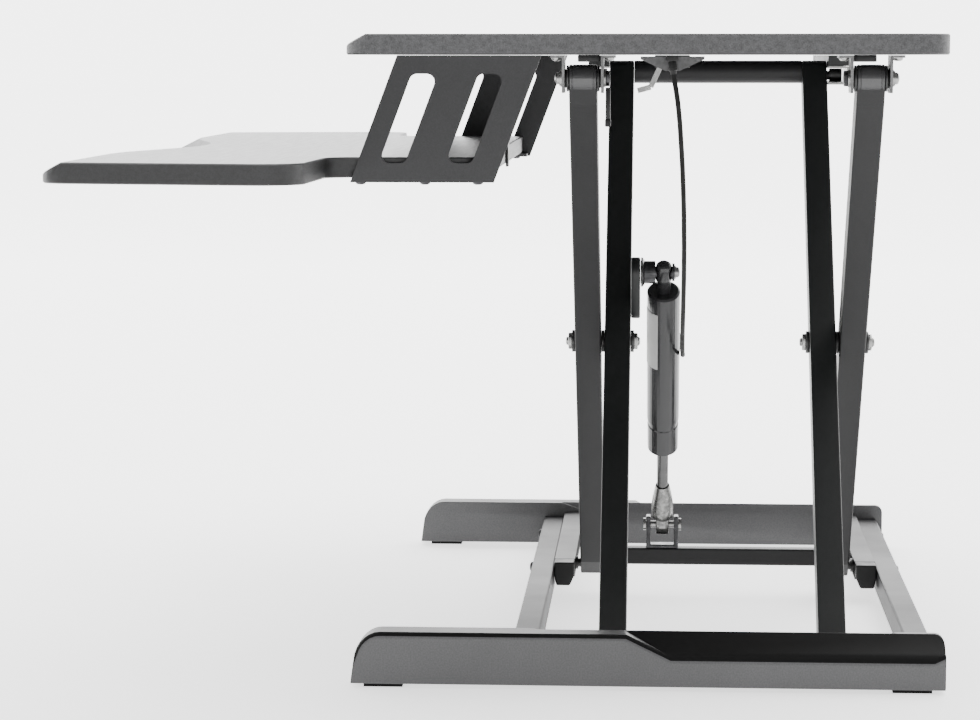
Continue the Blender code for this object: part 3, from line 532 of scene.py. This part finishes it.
cable, cable_path = make_cable()
cable.data.materials.clear()
settle(cable, "release_cable_sheath", "desktop", rubber, 60)
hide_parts("release_cable")
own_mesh(cable)

# %% [markdown]
# ## Where the pieces go
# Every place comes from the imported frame. A joint gives the line that a bolt lies on, and a node's box
# gives the faces that a washer or a screw sits against.

# %% Joint lines
joints = {joint["name"]: joint for joint in frame["joints"]}
TOP = Vector(joints["desktop_pivot"]["pos_m"])
MIDDLE = Vector(joints["scissor"]["pos_m"])
SPRING_FOOT = Vector(joints["spring_swing"]["pos_m"])
SPRING_UP = Vector(joints["spring_stroke"]["axis"]).normalized()
PLUS_Y, MINUS_Y = Vector((0, 1, 0)), Vector((0, -1, 0))
GAP = 0.3 * MM
print("upper pivots at", tuple(round(v, 4) for v in TOP))

# %% [markdown]
# ## Board and tray
# A laminated board has two finishes: the sheet on its faces, and the band glued round its edge. The
# solid already has the right outline, so a copy of it is welded, its corners are shaded smooth, and the
# faces that look sideways take the band's material.

# %% Copies of solids
def refined(node, name, body, material, width=0.0, segments=2, angle=40, smooth=35):
    """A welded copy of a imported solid, with its sharp edges bevelled, that stands for the solid."""
    obj = bpy.data.objects.new(name, nodes[node].data.copy())
    bpy.context.scene.collection.objects.link(obj)
    edit(obj)
    bpy.ops.mesh.select_all(action="SELECT")
    bpy.ops.mesh.remove_doubles(threshold=2e-6)
    bpy.ops.mesh.dissolve_limited(angle_limit=math.radians(1))
    bpy.ops.object.mode_set(mode="OBJECT")
    if width:
        soften(obj, width, segments, angle)
    settle(obj, name, body, material, smooth)
    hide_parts(node)
    return obj


def face_material(obj, material, test):
    obj.data.materials.append(material)
    number = len(obj.data.materials) - 1
    for face in obj.data.polygons:
        if test(face):
            face.material_index = number


UPRIGHT, LEVEL = 0.1, 0.98  # a face's normal: how far up it points
board_band = laminate_material("board_edge_band", (0.024, 0.024, 0.025), (0.075, 0.075, 0.078), 0.5, 0.3)
tray_band = laminate_material("tray_edge_band", (0.004, 0.004, 0.004), (0.012, 0.012, 0.013), 0.45, 0.2)
desktop_top = refined("desktop_board", "desktop_top", "desktop", laminate, 0.9 * MM, 2, 60)
face_material(desktop_top, board_band, lambda face: abs(face.normal.z) < UPRIGHT)
face_material(desktop_top, tray_band, lambda face: UPRIGHT < abs(face.normal.z) < LEVEL)
tray_top = refined("keyboard_tray", "tray_top", "desktop", laminate, 0.7 * MM, 2, 60)
face_material(tray_top, tray_band, lambda face: abs(face.normal.z) < LEVEL)
print("board and tray:", len(desktop_top.data.polygons), len(tray_top.data.polygons), "faces")

# %% [markdown]
# ## Feet
# Each foot is a folded steel profile. Its long edges are rounded by the fold, and a dark band of shade
# runs along the outer one, where its face slopes away from the light. Bevelling the welded copy gives the
# rounding, and the sloped faces near the outer side take a near-black coat: painted shade.

# %% Feet
foot_coat = powder_material("foot_powder_coat", (0.085, 0.085, 0.087), 0.42, 800.0, 0.35)
# A near-black coat that is painted shade, for the sloped faces along the outer fold.
painted_fold_shade = powder_material("fold_powder_coat", (0.004, 0.004, 0.004), 0.6, 1100.0, 0.15)
FOLD = 4.2 * MM
LEAN = 5 * MM
SCOOPED = 21 * MM


def make_foot(side_name, side):
    node = f"foot_{side_name}"
    low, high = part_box(node)
    outer = max(abs(low[0]), abs(high[0]))
    foot = refined(node, f"foot_shell_{side_name}", "base", foot_coat, smooth=25)
    edit(foot)

    def on_outer_rim(edge):
        above = all(v.co.z > low[2] + 1.5 * MM for v in edge.verts)
        faces = [f.normal.x * side > 0.98 for f in edge.link_faces]
        return above and sum(faces) == 1 and min(abs(v.co.x) for v in edge.verts) > outer - MM

    count = pick(foot, "edges", on_outer_rim)
    bpy.ops.mesh.bevel(offset=FOLD, segments=4, affect="EDGES", clamp_overlap=True)
    bpy.ops.object.mode_set(mode="OBJECT")
    bpy.context.view_layer.update()
    soften(foot, 0.6 * MM, 2, 35)
    for vertex in foot.data.vertices:
        near = max(0.0, 1 - (vertex.co.y - low[1]) / (45 * MM))
        rise = (vertex.co.z - low[2]) / (high[2] - low[2])
        vertex.co.y += LEAN * near * rise
    foot.data.shade_smooth()
    deselect()
    bpy.context.view_layer.objects.active = foot
    foot.select_set(True)
    bpy.ops.object.shade_smooth_by_angle(angle=math.radians(28))
    # Painted shade: faces near the outer side that slope away from the light take the near-black coat.
    foot.data.materials.append(painted_fold_shade)
    for face in foot.data.polygons:
        turned = 0.06 < face.normal.x * side < 0.97
        if turned and face.normal.z > -0.2 and face.center.x * side > outer - SCOOPED:
            face.material_index = 1
    return foot, count


for side_name, side in (("right", 1), ("left", -1)):
    foot, count = make_foot(side_name, side)
    print(foot.name, "rim edges", count)

# %% [markdown]
# ## Dome screws
# The brackets and the rails are held by pan-head screws. The head is a low dome with a cross recess. It
# is modelled once, as a turned dome whose middle is sunk, and every other screw is a copy of it.

# %% Screw
def make_screw(name, place, direction, body, radius=3.6 * MM, material=None):
    profile = [(radius, 0), (radius, 0.5 * MM), (radius * 0.86, 1.5 * MM), (radius * 0.6, 2.1 * MM)]
    profile += [(radius * 0.36, 2.3 * MM), (radius * 0.3, 1.3 * MM), (radius * 0.1, 1.1 * MM)]
    head = repeated(("screw", radius), lambda: turn_up(profile, 20))
    stand(head, place, direction)
    return settle(head, name, body, material or zinc, 40)


def bracket_screws():
    """Two screws up through each hinge bracket's flange, and three under each tray bracket."""
    made = 0
    for name in ("front_outer", "front_inner", "rear_outer", "rear_inner"):
        low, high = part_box(f"hinge_bracket_{name}")
        outward = -1 if name in ("front_outer", "rear_outer") else 1
        y = low[1] + 4.6 * MM if outward < 0 else high[1] - 4.6 * MM
        for number, x in enumerate((low[0] + 7 * MM, high[0] - 7 * MM)):
            make_screw(f"flange_screw_{name}_{number}", (x, y, high[2] - 2.1 * MM), (0, 0, -1), "desktop")
            made += 1
    for side_name, side in (("right", 1), ("left", -1)):
        low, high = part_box(f"tray_bracket_{side_name}")
        x = side * (max(abs(low[0]), abs(high[0])) - 12 * MM)
        for number, y in enumerate((low[1] + 7 * MM, low[1] + 57 * MM, low[1] + 98 * MM)):
            place = (x, y, low[2] + 0.1 * MM)
            make_screw(f"tray_screw_{side_name}_{number}", place, (0, 0, -1), "desktop", 4.2 * MM, dark_steel_and_painted_shade)
            made += 1
    return made


print("bracket screws:", bracket_screws())

# %% [markdown]
# ## Upper pivots
# A gray leg ends in a turned barrel that swings between two L-shaped brackets. A nylon bushing fills the
# gap on each side, and one long bolt goes through all of them, with a hex head on one side and a domed
# lock nut on the other. What comes more than once is modelled once, and each copy has its own mesh.

# %% Barrels, bushings and pivot bolts
def make_barrel(end):
    low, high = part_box(f"gray_leg_{end}")
    width = high[1] - low[1]
    radius = 10.6 * MM
    groove = 0.35 * MM
    profile = [(radius - 0.8 * MM, 0), (radius, 0.8 * MM), (radius, 2 * MM), (radius - groove, 2.3 * MM)]
    profile += [(radius - groove, 2.9 * MM), (radius, 3.2 * MM)]
    profile += [(r, width - z) for r, z in reversed(profile)]
    barrel = repeated("barrel", lambda: turn_up(profile, 48))
    stand(barrel, (TOP.x, low[1], TOP.z), PLUS_Y)
    return settle(barrel, f"leg_barrel_{end}", "gray_frame", barrel_coat, 30)


def make_bushing(name, start, direction, body, material, radius=10 * MM, width=2.9 * MM):
    step = width * 0.55
    profile = [(radius * 0.72, 0), (radius * 0.72, width - step), (radius, width - step), (radius, width)]
    bushing = repeated("bushing", lambda: soften(turn_up(profile, 36), 0.3 * MM))
    stand(bushing, start, direction)
    return settle(bushing, name, body, material, 35)


def make_hex(name, place, direction, body, across, height, material):
    """A hexagonal head: six sides, with its top corners turned off."""
    radius = across / math.sqrt(3)
    profile = [(radius, 0), (radius, height * 0.82), (radius * 0.86, height), (radius * 0.5, height)]
    head = repeated(("hex", across, height), lambda: soften(turn_up(profile, 6), 0.25 * MM, 2, 20))
    stand(head, place, direction)
    return settle(head, name, body, material, 25)


def make_dome_nut(name, place, direction, body, radius, material):
    profile = [(radius * 1.25, 0), (radius * 1.25, 1 * MM), (radius, 1.1 * MM), (radius, 2.6 * MM)]
    profile += [(radius * 0.85, 3.6 * MM), (radius * 0.5, 4.3 * MM), (radius * 0.1, 4.5 * MM)]
    nut = stand(repeated(("dome nut", radius), lambda: turn_up(profile, 28)), place, direction)
    return settle(nut, name, body, material, 40)


barrel_coat = powder_material("barrel_powder_coat", (0.03, 0.03, 0.031), 0.22, 1400.0, 0.6, 0.08)


def make_upper_pivot(end):
    outer_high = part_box(f"hinge_bracket_{end}_outer")[1][1]
    inner_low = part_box(f"hinge_bracket_{end}_inner")[0][1]
    plate = 2 * MM
    outer_face, inner_face = outer_high - plate, inner_low + plate
    make_barrel(end)
    line = lambda y: (TOP.x, y, TOP.z)
    make_bushing(f"pivot_bushing_{end}_outer", line(outer_high), PLUS_Y, "desktop", nylon)
    make_bushing(f"pivot_bushing_{end}_inner", line(inner_low), MINUS_Y, "desktop", nylon)
    bolt = turn_up([(6.6 * MM, outer_face - 1.4 * MM), (6.6 * MM, outer_face), (3.9 * MM, outer_face),
                    (3.9 * MM, inner_face), (6.6 * MM, inner_face), (6.6 * MM, inner_face + 1.4 * MM)], 28)
    bolt.rotation_euler = Vector((0, 0, 1)).rotation_difference(PLUS_Y).to_euler()
    bolt.location = (TOP.x, 0, TOP.z)
    settle(bolt, f"pivot_bolt_{end}", "desktop", zinc, 35)
    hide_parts(f"hinge_bolt_{end}")
    head_y, nut_y = (inner_face, outer_face) if end == "front" else (outer_face, inner_face)
    make_hex(f"pivot_head_{end}", line(head_y + 1.4 * MM * (1 if end == "front" else -1)),
             PLUS_Y if end == "front" else MINUS_Y, "desktop", 10.5 * MM, 3.4 * MM, dark_steel_and_painted_shade)
    make_dome_nut(f"pivot_nut_{end}", line(nut_y - 1.4 * MM * (1 if end == "front" else -1)),
                  MINUS_Y if end == "front" else PLUS_Y, "desktop", 4.6 * MM, zinc)


for end in ("front", "rear"):
    make_upper_pivot(end)
print("upper pivots made")

# %% [markdown]
# ## Scissor bolts
# Where the legs cross, a bolt carries a black washer on each side and a black spacer between the legs.
# Only its head and its nut are bright. The spacer keeps the painted faces from rubbing.

# %% Scissor bolts
def make_scissor_bolt(end):
    gray_low, gray_high = (corner[1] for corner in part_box(f"gray_leg_{end}"))
    black_low, black_high = (corner[1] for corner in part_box(f"black_leg_{end}"))
    front = end == "front"
    head_face, nut_face = (gray_low, black_high) if front else (black_low, gray_high)
    between = (gray_high, black_low) if front else (black_high, gray_low)
    line = lambda y: (MIDDLE.x, y, MIDDLE.z)
    washer_r, washer_t = 9.2 * MM, 2.6 * MM
    bolt = turn_up([(3.9 * MM, head_face - 3 * MM), (3.9 * MM, nut_face + 7 * MM)], 20)
    stand(bolt, (MIDDLE.x, 0, MIDDLE.z), PLUS_Y)
    settle(bolt, f"crossing_bolt_{end}", "black_frame", zinc)
    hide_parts(f"scissor_bolt_{end}")
    for tag, start, direction in (("head", head_face - GAP, MINUS_Y), ("nut", nut_face + GAP, PLUS_Y)):
        washer = repeated(
            "crossing washer", lambda: soften(turn_up([(washer_r, 0), (washer_r, washer_t)], 36), 0.4 * MM)
        )
        stand(washer, line(start), direction)
        settle(washer, f"crossing_washer_{end}_{tag}", "black_frame", nylon)
        place = Vector(line(start)) + direction * washer_t
        make_hex(f"crossing_{tag}_{end}", place, direction, "black_frame", 12 * MM, 3.2 * MM, zinc)
        tip_profile = [(3.4 * MM, 0), (3.4 * MM, 1.2 * MM), (2.4 * MM, 2 * MM)]
        tip = repeated("crossing tip", lambda: turn_up(tip_profile, 20))
        stand(tip, place + direction * 3.2 * MM, direction)
        settle(tip, f"crossing_tip_{end}_{tag}", "black_frame", zinc, 40)
    spacer_t = between[1] - between[0] - 2 * GAP
    spacer = repeated(
        "crossing spacer", lambda: soften(turn_up([(washer_r, 0), (washer_r, spacer_t)], 36), 0.3 * MM)
    )
    stand(spacer, line(between[0] + GAP), PLUS_Y)
    settle(spacer, f"crossing_spacer_{end}", "black_frame", nylon)


for end in ("front", "rear"):
    make_scissor_bolt(end)
print("scissor bolts made")

# %% [markdown]
# ## The gas spring
# A locking gas spring is opened by a small pin at its head, which the cable pulls. Its head is a round
# neck with a domed end, through which the upper bolt runs. At the other end the rod screws into a zinc
# fork that tapers down to a square end on the lower pin. A plain blank label sits on the cylinder.

# %% Spring head
boss_low, boss_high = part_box("spring_boss")
refined("spring_plate", "spring_plate_shell", "black_frame", black_coat, 2.4 * MM, 4)
SPRING_HEAD = Vector(((boss_low[0] + boss_high[0]) / 2, SPRING_FOOT.y, (boss_low[2] + boss_high[2]) / 2))
SPAN = (SPRING_HEAD - SPRING_FOOT).length


def along_spring(from_head):
    return SPRING_HEAD - SPRING_UP * from_head


def make_spring_head():
    profile = [(6 * MM, 0), (6 * MM, 11 * MM), (7 * MM, 13 * MM), (7.4 * MM, 18 * MM), (7.2 * MM, 24 * MM)]
    profile += [(6.2 * MM, 27.5 * MM), (4.2 * MM, 29.3 * MM), (1 * MM, 30 * MM)]
    head = stand(turn_up(profile, 36), along_spring(19.7 * MM), SPRING_UP)
    settle(head, "spring_head_fitting", "spring_upper", spring_paint, 45)
    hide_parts("spring_eye")
    return head


make_spring_head()
washer = turn_up([(12.4 * MM, 0), (12.4 * MM, 1.4 * MM), (10 * MM, 3 * MM)], 36)
stand(washer, (SPRING_HEAD.x, boss_low[1] + 0.4 * MM, SPRING_HEAD.z), PLUS_Y)
settle(washer, "boss_flange", "spring_upper", spring_paint, 40)
make_dome_nut("spring_pin_nut", (SPRING_HEAD.x, boss_high[1] - 0.4 * MM, SPRING_HEAD.z), PLUS_Y,
              "spring_upper", 4.4 * MM, zinc)
print("spring length, pin to pin:", round(SPAN, 4))

# %% [markdown]
# ## The label
# The cylinder carries a blank sticker. It is a piece of an open tube that is a hair wider than the
# cylinder: every face outside the sticker's angle is deleted, and Solidify gives the film its thickness.

# %% Label
def make_label():
    """A strip of thin film that covers part of the cylinder's side."""
    radius, length, start = 14.12 * MM, 62 * MM, 37 * MM
    deselect()
    bpy.ops.mesh.primitive_cylinder_add(
        vertices=72, radius=radius, depth=length, end_fill_type="NOTHING", location=(0, 0, 0)
    )
    label = bpy.context.object
    edit(label)
    first, last = math.radians(-88), math.radians(-22)

    def outside(face):
        spot = middle(face)
        return not first < math.atan2(spot.y, spot.x) < last

    pick(label, "faces", outside)
    bpy.ops.mesh.delete(type="FACE")
    bpy.ops.object.mode_set(mode="OBJECT")
    thick = label.modifiers.new("thickness", "SOLIDIFY")
    thick.thickness = 0.15 * MM
    thick.offset = 1
    stand(label, along_spring(start + length / 2), SPRING_UP)
    return settle(label, "blank_label", "spring_upper", paper, 40)


paper = cloudy_material("label_film", (0.36, 0.36, 0.355), 0.5, 0.0, 60.0, 0.04, 1600.0, 0.05)
make_label()
print("label made")

# %% [markdown]
# ## The rod end
# The rod screws into a cast zinc end. A turned cone widens towards the pin, a bevelled block takes the
# pin through it, and a small square stud shows on its side.

# %% Rod end
def make_rod_end():
    """A zinc fork: a cone that grows towards the pin, and a square end with its corners broken."""
    socket = 50 * MM
    profile = [(6 * MM, 0), (6.4 * MM, 1 * MM), (8.9 * MM, 15 * MM), (9.7 * MM, 24 * MM), (9.8 * MM, 30 * MM)]
    profile += [(9.6 * MM, 37 * MM), (8.6 * MM, 38.4 * MM)]
    start = SPRING_FOOT + SPRING_UP * socket
    cone = stand(turn_up(profile, 40), start, -SPRING_UP)
    settle(cone, "rod_end_cone", "spring_lower", zinc_cast, 40)
    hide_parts("spring_knuckle")
    half = 5.8 * MM
    square = block((-half, -half, -8 * MM), (half, half, 12.5 * MM))
    soften(square, 1.2 * MM, 3)
    stand(square, SPRING_FOOT, SPRING_UP)
    settle(square, "rod_end_block", "spring_lower", zinc_cast, 35)
    small = 3 * MM
    stud = block((half - 0.3 * MM, -small, -small), (half + 2.4 * MM, small, small))
    soften(stud, 0.6 * MM, 2)
    stud.location = SPRING_FOOT
    settle(stud, "rod_end_stud", "spring_lower", zinc, 35)


zinc_cast = cloudy_material("cast_zinc", (0.2, 0.2, 0.195), 0.3, 1.0, 240.0, 0.35, 1800.0, 0.25)
make_rod_end()
# The clevis is zinc: this dark finish is painted shade for its inner faces, which look black.
nodes["spring_clevis"].data.materials[0] = dark_steel_and_painted_shade
print("rod end made")

# %% [markdown]
# ## Ends of the cable
# A sheath never ends bare. A crimped ferrule grips it at the handle, and another seats it at the spring's
# head. Each is turned, with a collar and a short taper.

# %% Ferrules
handle_gray = cloudy_material("gray_plastic", (0.05, 0.05, 0.051), 0.45, 0.0, 300.0, 0.2, 1800.0, 0.3)
nodes["release_handle"].data.materials[0] = handle_gray


def make_ferrule(name, place, direction):
    profile = [(2.6 * MM, 0), (2.9 * MM, 0.4 * MM), (2.9 * MM, 5 * MM), (3.4 * MM, 5.2 * MM)]
    profile += [(3.4 * MM, 6.6 * MM), (2.5 * MM, 7.2 * MM), (2.1 * MM, 9.5 * MM)]
    ferrule = stand(repeated("ferrule", lambda: turn_up(profile, 24)), place, direction)
    return settle(ferrule, name, "desktop", plastic, 40)


upper_end, lower_end = cable_path[0], cable_path[-1]
make_ferrule("cable_ferrule_upper", upper_end + Vector((0, 0, 0.2 * MM)), (cable_path[3] - upper_end))
lower_ferrule = make_ferrule("cable_ferrule_lower", lower_end, cable_path[-4] - lower_end)
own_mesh(lower_ferrule)
print("ferrules made")

# %% [markdown]
# ## Small fittings under the board
# A bent zinc hook steers the cable past the cross tube, and a slim gray tab beside the upper pivot stops
# the desktop at full height. Both are strips that were cut, drilled and folded. The hook is made of flat
# blocks, one for each straight run, joined into one piece; the tab is a bevelled block with a plastic tip.

# %% Hook and tab
def fold_strip(name, start, folds, thick, width, body, material):
    """A strip in the YZ plane: each fold is the next point of its path."""
    spots = [Vector(start)] + [Vector(fold) for fold in folds]
    pieces = []
    for first, last in zip(spots, spots[1:]):
        run = last - first
        piece = block((-width / 2, 0, -thick / 2), (width / 2, run.length, thick / 2))
        piece.rotation_euler = Vector((0, 1, 0)).rotation_difference(run).to_euler()
        piece.location = first
        deselect()
        bpy.context.view_layer.objects.active = piece
        piece.select_set(True)
        bpy.ops.object.transform_apply(location=True, rotation=True)
        pieces.append(piece)
    whole = pieces[0]
    for piece in pieces[1:]:
        joined = whole.modifiers.new("fold", "BOOLEAN")
        joined.operation, joined.object, joined.solver = "UNION", piece, "EXACT"
        deselect()
        bpy.context.view_layer.objects.active = whole
        whole.select_set(True)
        bpy.ops.object.modifier_apply(modifier=joined.name)
        bpy.data.objects.remove(piece)
    soften(whole, 0.25 * MM, 1, 40)
    return settle(whole, name, body, material, 30)


board_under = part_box("desktop_board")[0][2]
hook_x, hook_y = 70 * MM, 112 * MM
fold_strip(
    "cable_hook", (hook_x, hook_y + 20 * MM, board_under - 3 * MM),
    [(hook_x, hook_y + 9 * MM, board_under - 3 * MM), (hook_x, hook_y - 2 * MM, board_under - 27 * MM),
     (hook_x, hook_y - 13 * MM, board_under - 30 * MM)],
    4.6 * MM, 2 * MM, "desktop", zinc,
)
tab_x, tab_y = TOP.x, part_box("hinge_bracket_front_inner")[0][1] + 3.4 * MM
tab_half, tab_t = 5 * MM, 3.6 * MM
tab = block((tab_x - tab_half, tab_y, TOP.z - 32 * MM), (tab_x + tab_half, tab_y + tab_t, TOP.z - 7 * MM))
soften(tab, 0.6 * MM, 2)
settle(tab, "height_stop_tab", "desktop", gray_coat, 35)
tip = block((tab_x - tab_half - MM, tab_y - 0.4 * MM, TOP.z - 37 * MM),
            (tab_x + tab_half + MM, tab_y + tab_t + 0.4 * MM, TOP.z - 31 * MM))
soften(tip, 1 * MM, 3)
settle(tip, "height_stop_tip", "desktop", plastic, 35)
print("hook and tab made")

# %% [markdown]
# ## Packing blocks
# Above each barrel a block fills the gap to the board. It is a bevelled cube, sized from the leg it sits
# over and from the board's underside.

# %% Packing blocks
def make_packing(end):
    """A block between the two brackets, which takes the load when the desktop is leaned on."""
    low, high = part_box(f"gray_leg_{end}")
    inward = 1 if end == "front" else -1
    half_x, half_y, above_pivot = 7 * MM, 8.5 * MM, 12.6 * MM
    centre = (low[1] + high[1]) / 2 + inward * 4.5 * MM
    packing = block((TOP.x - half_x, centre - half_y, TOP.z + above_pivot),
                    (TOP.x + half_x, centre + half_y, board_under - 0.1 * MM))
    soften(packing, 0.8 * MM, 2)
    return settle(packing, f"packing_block_{end}", "desktop", gray_coat, 35)


for end in ("front", "rear"):
    print(make_packing(end).name)

# %% [markdown]
# ## Rail bolts
# The rails and channels are drawn up to each other by bolts through the rails' outer sides. Their black
# heads show beside the rails.

# %% Rail bolts
def make_rail_bolts():
    front_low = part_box("base_rail_front")[0]
    rear_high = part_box("base_rail_rear")[1]
    height = (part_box("base_rail_front")[0][2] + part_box("base_rail_front")[1][2]) / 2
    made = 0
    for place_name, x in (("far", -275 * MM), ("near", -90 * MM)):
        for end, y, direction in (("front", front_low[1], MINUS_Y), ("rear", rear_high[1], PLUS_Y)):
            name = f"rail_bolt_{end}_{place_name}"
            place = (x, y - direction.y * 0.1 * MM, height)
            make_dome_nut(name, place, direction, "base", 4.6 * MM, dark_steel_and_painted_shade)
            made += 1
    return made


print("rail bolts:", make_rail_bolts())

# %% [markdown]
# ## Floor
# The object stands on a wide pale floor, a single plane. The floor glows a little, and more so far
# behind, so that it meets the sky without a line. Only the pictures hold it, so it belongs to the stage.

# %% Floor
def add_floor():
    deselect()
    bpy.ops.mesh.primitive_plane_add(size=90, location=(0, 0.1, -0.0002))
    floor = bpy.context.object
    floor.name = "floor"
    made, tree, shader = new_material("pale_floor")
    place = add_node(tree, "ShaderNodeTexCoord").outputs["Object"]
    cloud = add_node(tree, "ShaderNodeTexNoise", Vector=place, Scale=1.5, Detail=2.0)
    share = remap(tree, cloud.outputs[0], 0.3, 0.7, 0.0, 1.0)
    pale = mix(tree, share, (0.93, 0.93, 0.93, 1), (0.95, 0.95, 0.95, 1))
    tree.links.new(pale, shader.inputs["Base Color"])
    shader.inputs["Roughness"].default_value = 0.9
    across = add_node(tree, "ShaderNodeSeparateXYZ", Vector=place).outputs[0]
    lift = remap(tree, across, 1.0, -4.0, 0.35, 1.0)
    tree.links.new(mix(tree, lift, (0, 0, 0, 1), (1, 1, 1, 1)), shader.inputs["Emission Color"])
    shader.inputs["Emission Strength"].default_value = 3.2
    floor.data.materials.append(made)
    return floor


print("staged:", add_floor().name)

# %% [markdown]
# ## Light
# The sky is bright behind the object and dim towards the camera, so the faces that look at the camera
# stay dark while every rounded edge catches a thin bright line. A wide soft light overhead whitens the
# floor and the tops of the feet, and one low light fills their faces. Softness comes from a light's size.

# %% Lights
def add_light(name, place, target, size, power):
    data = bpy.data.lights.new(name, "AREA")
    data.shape = "RECTANGLE"
    data.size, data.size_y = size
    data.energy = power
    light = bpy.data.objects.new(name, data)
    bpy.context.scene.collection.objects.link(light)
    light.location = place
    aim = Vector(target) - Vector(place)
    light.rotation_euler = aim.to_track_quat("-Z", "Y").to_euler()
    return light


def add_sky(behind, before):
    """A sky that lights from behind the object and is dim before it, yet looks evenly white from any side."""
    world = bpy.data.worlds.new("studio")
    bpy.context.scene.world = world
    world.use_nodes = True
    tree = world.node_tree
    direction = add_node(tree, "ShaderNodeTexCoord").outputs["Generated"]
    across = add_node(tree, "ShaderNodeSeparateXYZ", Vector=direction).outputs[0]
    strength = remap(tree, across, -0.85, 0.1, behind, before)
    seen = add_node(tree, "ShaderNodeLightPath").outputs["Is Camera Ray"]
    backdrop = maths(tree, "MULTIPLY", seen, behind)
    strength = maths(tree, "MAXIMUM", strength, backdrop)
    tree.links.new(strength, tree.nodes["Background"].inputs["Strength"])
    tree.nodes["Background"].inputs["Color"].default_value = (1, 1, 1, 1)


add_sky(behind=5, before=0.4)
add_light("overhead", (-0.6, 0.1, 3.2), (-0.6, 0.1, 0), (4.5, 4.5), 190)
add_light("foot_fill", (2.6, 0.1, 0.25), (0.3, 0.1, 0.02), (2.2, 0.25), 3)
print("lights placed")
